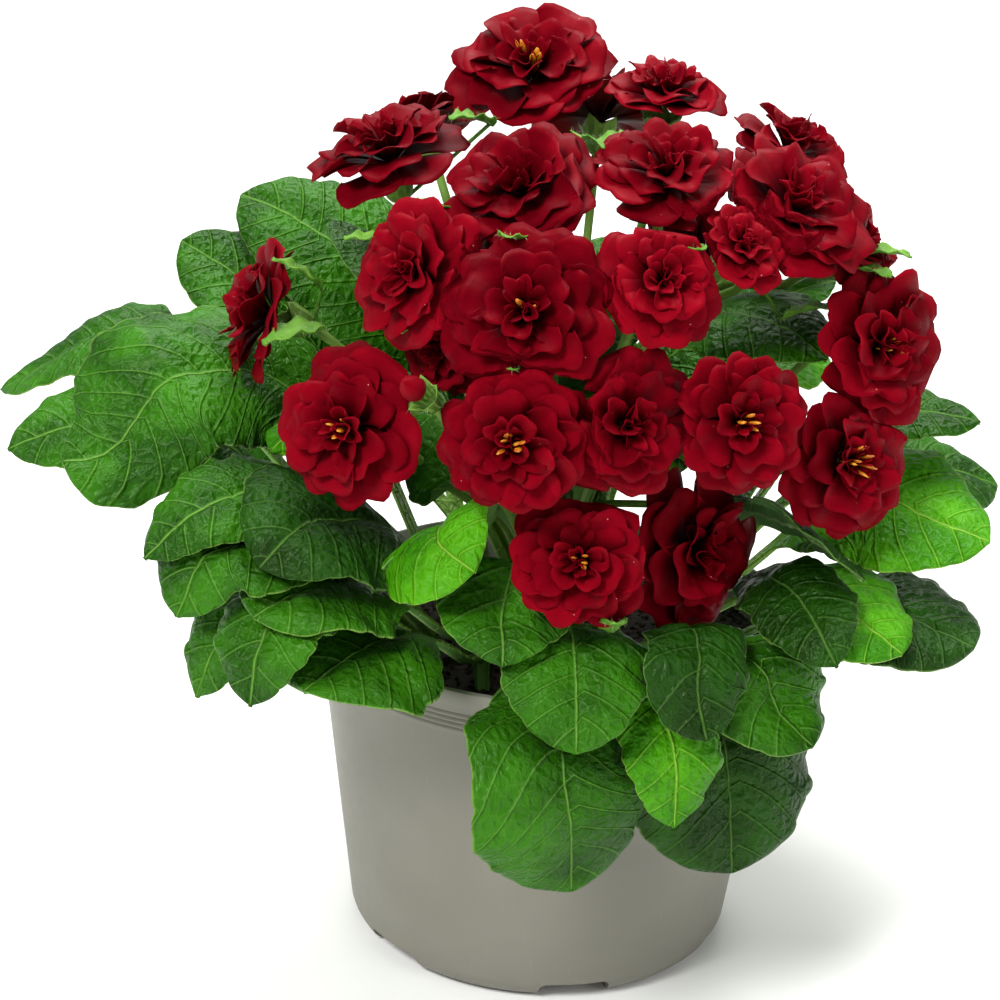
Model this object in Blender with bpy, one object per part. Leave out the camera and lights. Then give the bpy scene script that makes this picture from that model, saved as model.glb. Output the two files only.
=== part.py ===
# Potted double primrose: a thin plastic nursery pot, its growing medium, a crown with
# flower stalks and young leaves, separate rosette leaves, and separate double blooms.
# Lengths are millimetres and angles are degrees here, and are turned to metres at the end.
# Bearing 0 points to the front (-Y), 90 to the right (+X), 180 to the back.

import math
from dataclasses import dataclass

import bmesh
import bpy
import numpy as np

MM = 0.001
UP = np.array([0.0, 0.0, 1.0])

# Pot
RIM_RADIUS = 65.0
POT_HEIGHT = 95.0
RIM_LIP = 1.2
RIM_DEPTH = 4.5
RIM_EASE = 0.8
WALL = 1.2
FOOT_RADIUS = 53.0
CORNER_RADIUS = 7.0
CORNER_ANGLES = (82.0, 55.0, 28.0)
INNER_CORNER = (3.0, 9.0)
FOOT_SETBACK = 0.5
FOOT_WIDTH = 5.0
FLOOR_RISE = 6.2
PAD_RADIUS = 9.0
POT_SIDES = 36
NOTCH_COUNT = 6
NOTCH_BEARING = 11.0
NOTCH_WIDTH = 21.0
NOTCH_HEIGHT = 5.5
NOTCH_TAPER = 1.5
DRAIN_RADIUS = 4.0
DRAIN_RING = 34.0
DRAIN_SIDES = 10
CUT_PAST = 1.0

# Growing medium
SOIL_LEVEL = 84.0
SOIL_GAP = 0.45
SOIL_SHOULDER = 3.0
SOIL_CROWN_RADIUS = 30.0
SOIL_SIDES = 30
ROOT_DEPTH = 7.0
HOLE_RADIUS = 3.3
HOLE_SIDES = 6
HOLE_SHIFT = 1.0
HOLE_SPARE = 0.6

# Leaves
BLADE_THICKNESS = 0.8
RIB_THICKNESS = 1.1
ROOT_EDGE = 0.9
STALK_HALF_WIDTH = 2.2
KEEL = 2.1
KEEL_FLANK = 0.85
WIDEST_AT = 0.62
SCALLOP = 0.04
SCALLOPS = 12.5
START_ABOVE_SOIL = 1.5
RIB = np.linspace(0.0, 1.0, 33)
ROWS = (0.30, 0.46, 0.62, 0.78, 0.91, 0.99)
ACROSS = np.array([-1.0, -0.5, 0.0, 0.5, 1.0])
SAMPLE_T = np.linspace(0.04, 0.99, 22)
SAMPLE_V = np.linspace(-1.0, 1.0, 7)
LEAF_GAP = 2.4
STALK_EXTRA_GAP = 1.4
SETTLE_ROUNDS = 10
SETTLE_REACH = 11.0
RIM_REACH = 8.0
WALL_REACH = 3.0
SETTLE_SIDE = 5.5
BLOOM_CLEARANCE = 3.0
BLOOM_HALF_DEPTH = 7.0

# Crown: hub, flower stalks and calyces
HUB_RADIUS = 10.5
HUB_HEIGHT = 6.0
HUB_SIDES = 12
STALK_RADIUS = 1.1
STALK_SIDES = 3
STALK_STEPS = 4
STALK_GAP = 2.0
STALK_BLOOM_GAP = 1.5
CALYX_LENGTH = 8.5
CALYX_RADIUS = 3.4
CALYX_BELLY = 0.35
CALYX_VALLEY = 0.86
CALYX_TOOTH = 0.98
CALYX_FLOOR = 0.9
CALYX_FLARE = 6.0
SEAT_GAP = 0.5
GOLDEN_ANGLE = 137.5
BUD_RADIUS = 3.0
BUD_FLARE = 4.2
BUD_LENGTH = 9.0
BUD_SIDES = 8

# Blooms
PETAL_THICKNESS = 0.75
BLOOM_DEPTH = 5.7
LOBES = 5
BLOOM_GAP = 0.35
OVERLAP_TILT = 45.0
PRESS_ROUNDS = 4
UNEVEN = 0.05
RUFFLE = 0.08
# One petal of a layer as (turn, reach, ruffle) points round it
NOTCHED = ((-0.5, 0.80, -0.6), (-0.24, 1.02, 1.0), (0.0, 0.93, -0.1), (0.26, 1.0, -0.9))
ROUNDED = ((-0.5, 0.76, -0.5), (-0.17, 1.02, 1.0), (0.18, 0.96, -0.8))
UPRIGHT = ((-0.3, 0.84, -0.6), (0.2, 1.04, 0.9))


@dataclass(frozen=True)
class Leaf:
    """A leaf: the bearing and radius of its root and of its tip, the tip's height over the
    soil, the angles at which it leaves and arrives, and the form of its blade."""

    node: str
    root: tuple
    tip: tuple
    height: float
    rise: float
    droop: float
    width: float
    turn: float = 0.0
    roll: float = 0.0
    blade: float = 0.64
    fold: float = 0.24
    curl: float = 0.36
    wave: float = 0.05
    arch: float = 0.42


@dataclass(frozen=True)
class Bloom:
    """A double flower: its place, where it faces, its diameter, and how it is layered over
    its neighbours."""

    node: str
    place: tuple
    face: tuple
    diameter: float
    layer: int = 0
    spin: float = 0.0


@dataclass(frozen=True)
class Bud:
    """A closed bud: where its base sits in its calyx and which way it points."""

    node: str
    place: tuple
    face: tuple


LEAVES = (
    # Front and right, hanging over the rim
    Leaf("leaf_01", (37, 38), (33, 87), -31, 50, -84, 54, arch=0.50),
    Leaf("leaf_02", (-13, 38), (4, 89), -29, 60, -84, 50, arch=0.52),
    Leaf("leaf_03", (18, 38), (19, 94), -10, 46, -80, 26, arch=0.48),
    Leaf("leaf_04", (0, 30), (3, 99), 14, 52, -66, 36),
    Leaf("leaf_05", (34, 29), (39, 102), 9, 36, -30, 38, turn=15, roll=10),
    Leaf("leaf_06", (16, 29), (22, 98), 15, 34, -40, 28),
    Leaf("leaf_07", (-16, 30), (-8, 95), 34, 60, -62, 32),
    # Left, low
    Leaf("leaf_08", (-28, 38), (-35, 106), 22, 48, -16, 48, roll=-30),
    Leaf("leaf_09", (-52, 38), (-49, 117), 14, 36, -72, 24),
    Leaf("leaf_09", (-52, 38), (-41, 112), 14, 36, -72, 28),
    Leaf("leaf_10", (-38, 30), (-42, 110), 38, 42, -14, 42, roll=-15),
    Leaf("leaf_11", (-60, 30), (-50, 120), 32, 40, -30, 36, roll=-10),
    Leaf("leaf_12", (-75, 34), (-55, 121), 45, 44, -20, 26),
    Leaf("leaf_13", (-44, 22), (-44, 106), 44, 50, -34, 44, roll=-25),
    # Left, spreading
    Leaf("leaf_14", (-84, 38), (-78, 146), 60, 46, -25, 32, roll=-20),
    Leaf("leaf_15", (-79, 21), (-69, 134), 64, 50, 4, 46, roll=-34),
    Leaf("leaf_16", (-98, 34), (-92, 152), 64, 40, -34, 36, roll=-5),
    Leaf("leaf_17", (-24, 20), (-13, 92), 56, 62, -20, 38, turn=72, roll=45, arch=0.36),
    # Right
    Leaf("leaf_18", (60, 38), (60, 121), 29, 38, -16, 46, roll=10, blade=0.58),
    Leaf("leaf_19", (47, 30), (49, 112), 32, 46, -26, 38, roll=15, blade=0.60),
    Leaf("leaf_20", (74, 30), (67, 118), 52, 50, -14, 42, roll=20),
    Leaf("leaf_21", (70, 24), (43, 103), 24, 36, -44, 26),
    Leaf("leaf_22", (92, 30), (78, 110), 76, 56, -10, 32),
    # Upright, among the flowers
    Leaf("leaf_23", (-112, 30), (-100, 106), 104, 62, 24, 44, roll=-15),
    Leaf("leaf_24", (-136, 24), (-112, 98), 112, 78, 14, 46, roll=-15),
    Leaf("leaf_25", (-100, 16), (-104, 66), 112, 80, 30, 42),
    # Back
    Leaf("leaf_26", (112, 36), (98, 124), 44, 50, -24, 46),
    Leaf("leaf_26", (112, 36), (130, 118), 30, 50, -34, 44),
    Leaf("leaf_27", (165, 36), (156, 122), 44, 52, -24, 46),
    Leaf("leaf_27", (165, 36), (186, 114), 28, 52, -40, 46),
    Leaf("leaf_28", (-146, 36), (-150, 124), 46, 52, -22, 46),
    Leaf("leaf_28", (-146, 36), (-122, 122), 34, 52, -34, 44),
    Leaf("leaf_29", (170, 18), (172, 90), 92, 76, 0, 44),
    Leaf("leaf_30", (122, 22), (122, 88), 72, 68, -12, 42),
)

YOUNG_LEAVES = (
    Leaf("crown", (-60, 6), (-60, 92), 50, 72, -56, 26),
    Leaf("crown", (8, 6), (27, 60), 70, 76, -10, 30),
    Leaf("crown", (50, 6), (50, 98), 41, 60, -30, 24),
    Leaf("crown", (75, 6), (55, 82), 99, 80, -20, 38),
    Leaf("crown", (125, 6), (106, 76), 100, 82, 10, 32),
)

# Broad young leaves deep among the stalks, which may pass through them: all one node
INNER_LEAVES = (
    Leaf("crown", (30, 6), (33, 62), 46, 60, -14, 38, arch=0.40),
    Leaf("crown", (-25, 6), (-22, 64), 60, 64, -6, 38),
    Leaf("crown", (176, 6), (176, 32), 100, 80, 80, 54, blade=0.92),
    Leaf("crown", (0, 6), (4, 42), 104, 84, 24, 44),
)

BLOOMS = (
    Bloom("bloom_01", (-12, 6, 241), (-10, 56), 44, 2),
    Bloom("bloom_02", (-47, -27, 226), (-60, 72), 40, 1, 20),
    Bloom("bloom_03", (-13, -50, 223), (-25, 52), 42, 0, 10),
    Bloom("bloom_04", (21, -47, 228), (5, 60), 38, 2, 30),
    Bloom("bloom_05", (22, -10, 240), (25, 76), 32, 0),
    Bloom("bloom_06", (53, -43, 219), (40, 52), 45, 2, 15),
    Bloom("bloom_06", (71, -30, 206), (70, 30), 34, 0, 40),
    Bloom("bloom_07", (55, -12, 228), (65, 62), 32, 1),
    Bloom("bloom_08", (-78, -31, 184), (-78, 18), 38, 0, 25),
    Bloom("bloom_09", (-38, -66, 206), (-42, 22), 37, 1, 5),
    Bloom("bloom_10", (-11, -79, 201), (-5, 28), 42, 2, 30),
    Bloom("bloom_11", (20, -74, 208), (15, 28), 33, 1),
    Bloom("bloom_12", (40, -60, 214), (35, 42), 24, 3, 10),
    Bloom("bloom_13", (-53, -68, 167), (-24, 16), 40, 1, 12),
    Bloom("bloom_14", (-13, -88, 172), (-8, 12), 37, 3, 40),
    Bloom("bloom_15", (13, -84, 176), (22, 12), 38, 0, 8),
    Bloom("bloom_16", (40, -81, 177), (16, 14), 35, 1, 22),
    Bloom("bloom_17", (76, -46, 186), (34, 16), 41, 2, 33),
    Bloom("bloom_18", (69, -58, 160), (32, 12), 39, 1),
    Bloom("bloom_19", (4, -84, 142), (-6, 16), 35, 2, 18),
    Bloom("bloom_20", (33, -57, 134), (46, 4), 44, 1, 6),
    Bloom("bloom_21", (-31, -66, 188), (-35, 10), 25, -1),
    Bloom("bloom_22", (-42, 26, 220), (-135, 50), 38, 0, 14),
    Bloom("bloom_23", (8, 44, 224), (172, 50), 40, 1, 28),
    Bloom("bloom_24", (60, 32, 205), (118, 36), 38, 0, 2),
    Bloom("bloom_25", (-16, 74, 186), (-168, 22), 38, 1, 36),
    Bloom("bloom_26", (40, 66, 180), (145, 20), 36, 0, 20),
)

BUDS = (
    Bud("bud_01", (-35, -82, 181), (-30, 34)),
)


def unit(vector):
    """The vector at length one."""
    return vector / np.linalg.norm(vector)


def outward(bearing):
    """Level unit vector at a bearing."""
    a = math.radians(bearing)
    return np.array([math.sin(a), -math.cos(a), 0.0])


def direction(bearing, lift):
    """Unit vector at a bearing and an angle above the level."""
    b = math.radians(lift)
    return outward(bearing) * math.cos(b) + UP * math.sin(b)


def bezier(points, t):
    """Points of a cubic Bezier curve at the parameters t."""
    a, b, c, d = points
    t = np.asarray(t, float)[:, None]
    s = 1 - t
    return s**3 * a + 3 * s * s * t * b + 3 * s * t * t * c + t**3 * d


def leaf_half_width(leaf, t):
    """Half-width at t along the midrib: a winged stalk that opens into an obovate blade."""
    u = np.clip((t - (1 - leaf.blade)) / leaf.blade, 0, 1)
    opening = np.sin(0.5 * math.pi * np.clip(u / WIDEST_AT, 0, 1)) ** 1.25
    past = np.clip((u - WIDEST_AT) / (1 - WIDEST_AT), 0, 1)
    closing = np.sqrt(np.clip(1 - past**2.4, 0, 1))
    scallop = 1 + SCALLOP * np.sin(SCALLOPS * math.pi * t)
    blade = 0.5 * leaf.width * np.where(u < WIDEST_AT, opening, closing) * scallop
    return np.maximum(blade, STALK_HALF_WIDTH)


def leaf_root(leaf):
    """The point where the leaf's stalk comes out of the soil."""
    return outward(leaf.root[0]) * leaf.root[1] + UP * SOIL_LEVEL


def leaf_midrib(leaf, nudge):
    """Midrib points, tangents, and sideways and upward unit vectors at the RIB parameters."""
    first = leaf_root(leaf) + UP * START_ABOVE_SOIL
    last = outward(leaf.tip[0]) * leaf.tip[1] + UP * (SOIL_LEVEL + leaf.height)
    span = np.linalg.norm(last - first)
    bend = math.sin(math.radians(leaf.rise - leaf.droop) / 2) ** 2
    arch = leaf.arch * span * (1 + 0.55 * bend)
    heading = 0.5 * (leaf.root[0] + leaf.tip[0])
    second = first + arch * direction(heading, leaf.rise)
    third = last - arch * direction(leaf.tip[0] + leaf.turn, leaf.droop)
    place = bezier((first, second, third, last), RIB) + nudge
    along = np.gradient(place, axis=0)
    along /= np.linalg.norm(along, axis=1, keepdims=True)
    across = np.empty_like(along)
    side = outward(heading + 90)
    for k, tangent in enumerate(along):
        side = unit(side - tangent * (side @ tangent))
        across[k] = side
    above = np.cross(along, across)
    turn = np.radians(leaf.roll) * np.clip(RIB / 0.6, 0, 1)[:, None] ** 1.5
    rolled = across * np.cos(turn) + above * np.sin(turn)
    return place, along, rolled, np.cross(along, rolled)


def leaf_sheet(leaf, nudge, t, v):
    """Top surface of the leaf as a grid of points and normals, t along it and v across it."""
    frames = leaf_midrib(leaf, nudge)
    place, along, across, above = (
        np.stack([np.interp(t, RIB, part[:, i]) for i in range(3)], axis=1)[:, None, :]
        for part in frames
    )
    half = leaf_half_width(leaf, t)[:, None, None]
    t, v = t[:, None, None], v[None, :, None]
    blade = np.clip((t - (1 - leaf.blade)) / (0.5 * leaf.blade), 0, 1)
    phase = math.radians(37 * leaf.tip[0])
    ripple = leaf.wave * np.sin(17 * t + phase + 1.3 * np.sign(v))
    lift = leaf.fold * np.abs(v) - leaf.curl * np.abs(v) ** 2.2 + 2 * ripple * v * v
    slope = np.sign(v) * (leaf.fold - 2.2 * leaf.curl * np.abs(v) ** 1.2)
    points = place + half * (across * v + above * lift * blade)
    normals = above - across * slope * blade
    return points, normals / np.linalg.norm(normals, axis=2, keepdims=True)


def rim_samples():
    """Points, outward normals and reaches over the pot's rim, for leaves to rest clear of.
    Each row of the profile is (radius past the rim, depth under the rim, normal out, up)."""
    points, normals, reaches = [], [], []
    profile = (
        (-4.0, 0.0, -0.3, 1.0),
        (-0.5, 0.0, 0.6, 1.0),
        (RIM_LIP, 3.0, 1.0, 0.3),
        (0.0, 8.0, 1.0, 0.0),
        (-1.0, 16.0, 1.0, 0.0),
        (-2.0, 24.0, 1.0, 0.0),
        (-3.0, 32.0, 1.0, 0.0),
    )
    for bearing in range(0, 360, 6):
        out = outward(bearing)
        for past, depth, sideways, upward in profile:
            points.append(out * (RIM_RADIUS + past) + UP * (POT_HEIGHT - depth))
            normals.append(unit(out * sideways + UP * upward))
            reaches.append(RIM_REACH if sideways < upward else WALL_REACH)
    return np.array(points), np.array(normals), np.array(reaches)


def clear_of_samples(points, others, normals, reaches, gap):
    """How far each point must move to stand at least gap above the nearby samples."""
    reach = SETTLE_REACH + 1
    close = np.all((others > points.min(axis=0) - reach) & (others < points.max(axis=0) + reach), 1)
    if not close.any():
        return np.zeros_like(points)
    others, normals, reaches = others[close], normals[close], reaches[close]
    offset = points[:, None, :] - others[None, :, :]
    height = np.einsum("ijk,jk->ij", offset, normals)
    aside = np.linalg.norm(offset - height[..., None] * normals[None], axis=2)
    short = gap[:, None] - height
    near = (aside < SETTLE_SIDE) & (short > 0) & (height > -reaches[None, :])
    short = np.where(near, short * (1 - 0.5 * (aside / SETTLE_SIDE) ** 2), 0)
    best = short.argmax(axis=1)
    return short[np.arange(len(points)), best][:, None] * normals[best]


def clear_of_blooms(points, gap, own=None):
    """How far each point must move to stay off every other bloom, taken as a flattened ball."""
    push = np.zeros_like(points)
    for bloom in BLOOMS:
        if bloom is own:
            continue
        face = direction(*bloom.face)
        offset = points - np.array(bloom.place) + 1.0 * face
        depth = offset @ face
        aside = offset - depth[:, None] * face
        radius = 0.5 * bloom.diameter + gap
        thick = BLOOM_HALF_DEPTH + gap
        measure = np.sqrt((np.linalg.norm(aside, axis=1) / radius) ** 2 + (depth / thick) ** 2)
        gradient = aside / radius**2 + depth[:, None] * face / thick**2
        gradient /= np.maximum(np.linalg.norm(gradient, axis=1, keepdims=True), 1e-9)
        if own is None:
            gradient[:, 2] = -np.abs(gradient[:, 2])
        short = np.clip(1 - measure, 0, 1) * thick
        push += short[:, None] * gradient
    return push


def smooth(rows, passes=3):
    """Rows of vectors, each blended with its neighbours."""
    for _ in range(passes):
        padded = np.vstack([rows[:1], rows, rows[-1:]])
        rows = 0.25 * padded[:-2] + 0.5 * padded[1:-1] + 0.25 * padded[2:]
    return rows


def settle_leaves(leaves):
    """Nudges for each leaf's midrib that lay it clear above the leaves before it."""
    others, normals, reaches = rim_samples()
    nudges = []
    count = len(SAMPLE_V)
    for leaf in leaves:
        nudge = np.zeros((len(RIB), 3))
        extra = np.where(SAMPLE_T < 1 - leaf.blade, STALK_EXTRA_GAP, 0.0)
        gap = np.repeat(LEAF_GAP + extra, count)
        for _ in range(SETTLE_ROUNDS):
            points, _ = leaf_sheet(leaf, nudge, SAMPLE_T, SAMPLE_V)
            flat = points.reshape(-1, 3)
            push = clear_of_samples(flat, others, normals, reaches, gap)
            push += clear_of_blooms(flat, BLOOM_CLEARANCE)
            push = push.reshape(len(SAMPLE_T), count, 3)
            size = np.linalg.norm(push, axis=2)
            widest = push[np.arange(len(SAMPLE_T)), size.argmax(axis=1)]
            if size.max() < 0.05:
                break
            step = np.stack([np.interp(RIB, SAMPLE_T, widest[:, i]) for i in range(3)], axis=1)
            step = smooth(step) * np.clip(RIB / 0.25, 0, 1)[:, None]
            nudge = nudge + 0.8 * step
        points, sheet_normals = leaf_sheet(leaf, nudge, SAMPLE_T, SAMPLE_V)
        others = np.vstack([others, points.reshape(-1, 3)])
        normals = np.vstack([normals, sheet_normals.reshape(-1, 3)])
        reaches = np.append(reaches, np.full(flat.shape[0], SETTLE_REACH))
        nudges.append(nudge)
    return nudges, (others, normals, reaches)


def leaf_thickness(leaf, t, v):
    """Thickness under the top surface: a keel along the stalk that thins out in the blade."""
    blade = np.clip((t - (1 - leaf.blade)) / leaf.blade, 0, 1)[:, None]
    keel = KEEL + (RIB_THICKNESS - KEEL) * np.sqrt(blade)
    beside = KEEL_FLANK * KEEL
    flank = beside + (BLADE_THICKNESS - beside) * np.clip(3 * blade, 0, 1)
    edge = ROOT_EDGE + (BLADE_THICKNESS - ROOT_EDGE) * blade
    away = np.abs(v)[None, :]
    return np.where(away < 0.25, keel, np.where(away < 0.75, flank, edge))


def leaf_body(leaf, nudge):
    """Closed mesh of one leaf as points and triangles."""
    t = np.array(ROWS)
    points, normals = leaf_sheet(leaf, nudge, t, ACROSS)
    thickness = leaf_thickness(leaf, t, ACROSS)[..., None]
    under = points - normals * thickness
    heading = 0.5 * (leaf.root[0] + leaf.tip[0])
    side, inward = outward(heading + 90), -outward(heading)
    stem = leaf_thickness(leaf, np.zeros(1), ACROSS)[0]
    rings = []
    for height in (-ROOT_DEPTH, START_ABOVE_SOIL - 1.0):
        base = leaf_root(leaf) + UP * height
        top = [base + side * STALK_HALF_WIDTH * v for v in ACROSS]
        low = [p - inward * d for p, d in zip(top, stem)]
        rings.append(top + low[::-1])
    for k in range(len(t)):
        rings.append(list(points[k]) + list(under[k][::-1]))
    return ring_solid(rings, len(ACROSS))


def ring_solid(rings, half):
    """Points and triangles of a tube through rings of equal count, its flat ends closed.
    The first half of each ring is the top face and the second half the under face, and both
    are split along the same diagonals."""
    size = len(rings[0])
    points = [p for ring in rings for p in ring]
    faces = []
    for k in range(len(rings) - 1):
        a, b = k * size, (k + 1) * size
        for i in range(size):
            j = (i + 1) % size
            if i < half:
                faces += [(a + i, a + j, b + j), (a + i, b + j, b + i)]
            else:
                faces += [(a + i, a + j, b + i), (a + j, b + j, b + i)]
    for base, flip in ((0, True), ((len(rings) - 1) * size, False)):
        for i in range(half - 1):
            quad = (base + i, base + i + 1, base + size - 2 - i, base + size - 1 - i)
            if flip:
                quad = quad[::-1]
            faces += [quad[:3], (quad[0], quad[2], quad[3])]
    return points, faces


def bloom_axes(bloom):
    """The bloom's centre, facing direction and two directions in its plane."""
    face = direction(*bloom.face)
    first = unit(np.cross(UP, face) if abs(face[2]) < 0.999 else np.array([1.0, 0.0, 0.0]))
    second = np.cross(face, first)
    spin = math.radians(bloom.spin)
    first, second = (
        first * math.cos(spin) + second * math.sin(spin),
        second * math.cos(spin) - first * math.sin(spin),
    )
    return np.array(bloom.place, float), face, first, second


def bloom_planes(bloom):
    """Planes that part this bloom from its neighbours, as unit normals and offsets."""
    planes = []
    here, face = np.array(bloom.place, float), direction(*bloom.face)
    for other in BLOOMS:
        if other is bloom:
            continue
        there = np.array(other.place, float)
        gap = np.linalg.norm(here - there)
        reach = 0.5 * (bloom.diameter + other.diameter)
        if gap > reach + 6 or other.node == bloom.node:
            continue
        toward = (here - there) / gap
        split = there + (here - there) * (0.5 * other.diameter / reach)
        mean = unit(face + direction(*other.face))
        mean = mean - toward * (mean @ toward)
        if bloom.layer != other.layer and np.linalg.norm(mean) > 0.2:
            over = 1 if bloom.layer > other.layer else -1
            tilt = math.radians(OVERLAP_TILT) * over
            toward = toward * math.cos(tilt) + unit(mean) * math.sin(tilt)
        planes.append((toward, toward @ split + BLOOM_GAP / 2))
    return planes


def whorl(bloom, lobe, count, radius, centre, rim, thick, spin):
    """One closed layer of petals: a lobed and ruffled plate with its top face, its under face
    and its edge. A lobe lists (turn, reach, ruffle) round one petal, the centre is (top,
    bottom) heights and rim is a height."""
    place, face, first, second = bloom_axes(bloom)
    pitch = 360.0 / count
    top = [place + face * centre[0]]
    for k in range(count):
        for turn, reach, ruffle in lobe:
            a = math.radians(pitch * (k + turn) + spin)
            r = radius * reach * (1 + UNEVEN * math.sin(2.4 * k + spin))
            height = rim + ruffle * RUFFLE * radius
            top.append(place + first * r * math.cos(a) + second * r * math.sin(a) + face * height)
    low = [p - face * thick for p in top]
    low[0] = place + face * centre[1]
    for i in range(1, len(top)):
        for _ in range(PRESS_ROUNDS):
            for normal, offset in bloom_planes(bloom):
                short = offset - min(top[i] @ normal, low[i] @ normal)
                if short > 0:
                    top[i] = top[i] + normal * short
                    low[i] = low[i] + normal * short
    shift = len(top)
    faces = []
    for i in range(1, shift):
        j = i % (shift - 1) + 1
        faces += [(0, i, j), (shift, shift + j, shift + i)]
        faces += [(i, shift + i, shift + j), (i, shift + j, j)]
    return top + low, faces


def bloom_bodies(bloom):
    """The whorls of a double flower, from the outer one in to the upright heart."""
    r = 0.5 * bloom.diameter
    thick = PETAL_THICKNESS
    return [
        whorl(bloom, NOTCHED, LOBES, r, (-3.4, -BLOOM_DEPTH), -2.2, thick, 0),
        whorl(bloom, ROUNDED, LOBES, 0.80 * r, (-1.2, -5.0), 0.17 * r, 1.2 * thick, 36),
        whorl(bloom, UPRIGHT, 3, 0.52 * r, (1.4, -3.4), 0.34 * r, 1.5 * thick, 75),
    ]


def hub_points(heads):
    """Where each stalk leaves the hub: a sunflower spread matched to the heads by bearing."""
    total = len(heads)
    spots = [
        outward(GOLDEN_ANGLE * k) * (HUB_RADIUS - 1.8) * math.sqrt((k + 0.5) / total)
        for k in range(total)
    ]
    chosen = {}
    for head in sorted(heads, key=lambda head: -math.hypot(*head.place[:2])):
        level = np.array([*head.place[:2], 0.0])
        best = max(range(len(spots)), key=lambda k: spots[k] @ level)
        chosen[head] = spots.pop(best)
    return [chosen[head] for head in heads]


def stalk_curve(head, start, samples):
    """Centre line of a flower stalk from the hub to the calyx, bent clear of the leaves."""
    face = direction(*head.face)
    depth = BLOOM_DEPTH if isinstance(head, Bloom) else 0.0
    first = start + UP * (SOIL_LEVEL + HUB_HEIGHT - 2.5)
    last = np.array(head.place) - face * (depth + SEAT_GAP + CALYX_LENGTH)
    span = np.linalg.norm(last - first)
    lean = unit(UP * 2.4 + unit(last - first))
    arrive = unit(face + 0.5 * UP)
    t = np.linspace(0, 1, 4 * STALK_STEPS + 1)
    line = bezier((first, first + 0.4 * span * lean, last - 0.34 * span * arrive, last), t)
    fade = np.clip(np.minimum(t / 0.2, (1 - t) / 0.15), 0, 1)[:, None]
    gap = np.full(len(t), STALK_GAP)
    for _ in range(SETTLE_ROUNDS):
        push = clear_of_samples(line, *samples, gap)
        push += clear_of_blooms(line, STALK_BLOOM_GAP, head)
        line = line + 0.8 * smooth(push) * fade
    return line[::4]


def stalk_body(line, calyx_face, flare):
    """Closed mesh of a stalk with its calyx: ribs that flare into pointed teeth."""
    rings = []
    side = unit(np.cross(calyx_face, line[1] - line[0] + np.array([0.01, 0.02, 0.0])))
    for k, point in enumerate(line):
        ahead = line[min(k + 1, len(line) - 1)] - line[max(k - 1, 0)]
        ahead = calyx_face if k == len(line) - 1 else unit(ahead)
        side = unit(side - ahead * (side @ ahead))
        other = np.cross(ahead, side)
        rings.append([
            point + STALK_RADIUS * (side * math.cos(a) + other * math.sin(a))
            for a in np.arange(STALK_SIDES) * 2 * math.pi / STALK_SIDES
        ])
    belly = line[-1] + calyx_face * CALYX_BELLY * CALYX_LENGTH
    other = np.cross(calyx_face, side)
    angles = np.arange(STALK_SIDES) * 2 * math.pi / STALK_SIDES
    rings.append([
        belly + CALYX_RADIUS * (side * math.cos(a) + other * math.sin(a)) for a in angles
    ])
    points = [p for ring in rings for p in ring]
    faces = [tuple(range(STALK_SIDES))[::-1]]
    for k in range(len(rings) - 1):
        a, b = k * STALK_SIDES, (k + 1) * STALK_SIDES
        for i in range(STALK_SIDES):
            j = (i + 1) % STALK_SIDES
            faces += [(a + i, a + j, b + j), (a + i, b + j, b + i)]
    last_ring = (len(rings) - 1) * STALK_SIDES
    rim = len(points)
    for i, a in enumerate(angles):
        valley = line[-1] + calyx_face * CALYX_LENGTH * CALYX_VALLEY
        points.append(valley + CALYX_RADIUS * (side * math.cos(a) + other * math.sin(a)))
        b = a + math.pi / STALK_SIDES
        tooth = line[-1] + calyx_face * CALYX_LENGTH * CALYX_TOOTH
        points.append(tooth + flare * (side * math.cos(b) + other * math.sin(b)))
    centre = len(points)
    points.append(line[-1] + calyx_face * CALYX_LENGTH * CALYX_FLOOR)
    count = 2 * STALK_SIDES
    for i in range(STALK_SIDES):
        j = (i + 1) % STALK_SIDES
        valley, tooth, after = rim + 2 * i, rim + 2 * i + 1, rim + (2 * i + 2) % count
        low, high = last_ring + i, last_ring + j
        faces += [(low, tooth, valley), (low, high, tooth), (high, after, tooth)]
        faces += [(centre, valley, tooth), (centre, tooth, after)]
    return points, faces


def bud_body(bud):
    """Closed mesh of a pointed bud along the way it faces."""
    profile = ((0.0, 0.0), (0.55, 0.0), (1.0, 0.35), (0.62, 0.8), (0.0, 1.0))
    points, faces = lathe([(r * BUD_RADIUS, h * BUD_LENGTH) for r, h in profile], BUD_SIDES)
    face = direction(*bud.face)
    side = unit(np.cross(UP, face))
    other = np.cross(face, side)
    base = np.array(bud.place, float)
    return [base + side * p[0] + other * p[1] + face * p[2] for p in points], faces


def make_object(name, points, faces):
    """A mesh object in metres from points in millimetres, with its faces turned outward."""
    mesh = bpy.data.meshes.new(name)
    mesh.from_pydata([tuple(np.asarray(p) * MM) for p in points], [], faces)
    work = bmesh.new()
    work.from_mesh(mesh)
    bmesh.ops.triangulate(work, faces=[f for f in work.faces if len(f.verts) > 3])
    bmesh.ops.recalc_face_normals(work, faces=work.faces)
    work.to_mesh(mesh)
    work.free()
    obj = bpy.data.objects.new(name, mesh)
    bpy.context.scene.collection.objects.link(obj)
    return obj


def remove_object(obj):
    """Deletes an object and its mesh."""
    mesh = obj.data
    bpy.data.objects.remove(obj)
    bpy.data.meshes.remove(mesh)


def apply_modifiers(obj):
    """Replaces the object's mesh with its evaluated mesh and drops its modifiers."""
    shaped = obj.evaluated_get(bpy.context.evaluated_depsgraph_get())
    mesh = bpy.data.meshes.new_from_object(shaped)
    old = obj.data
    obj.modifiers.clear()
    obj.data = mesh
    bpy.data.meshes.remove(old)
    mesh.name = obj.name


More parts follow.
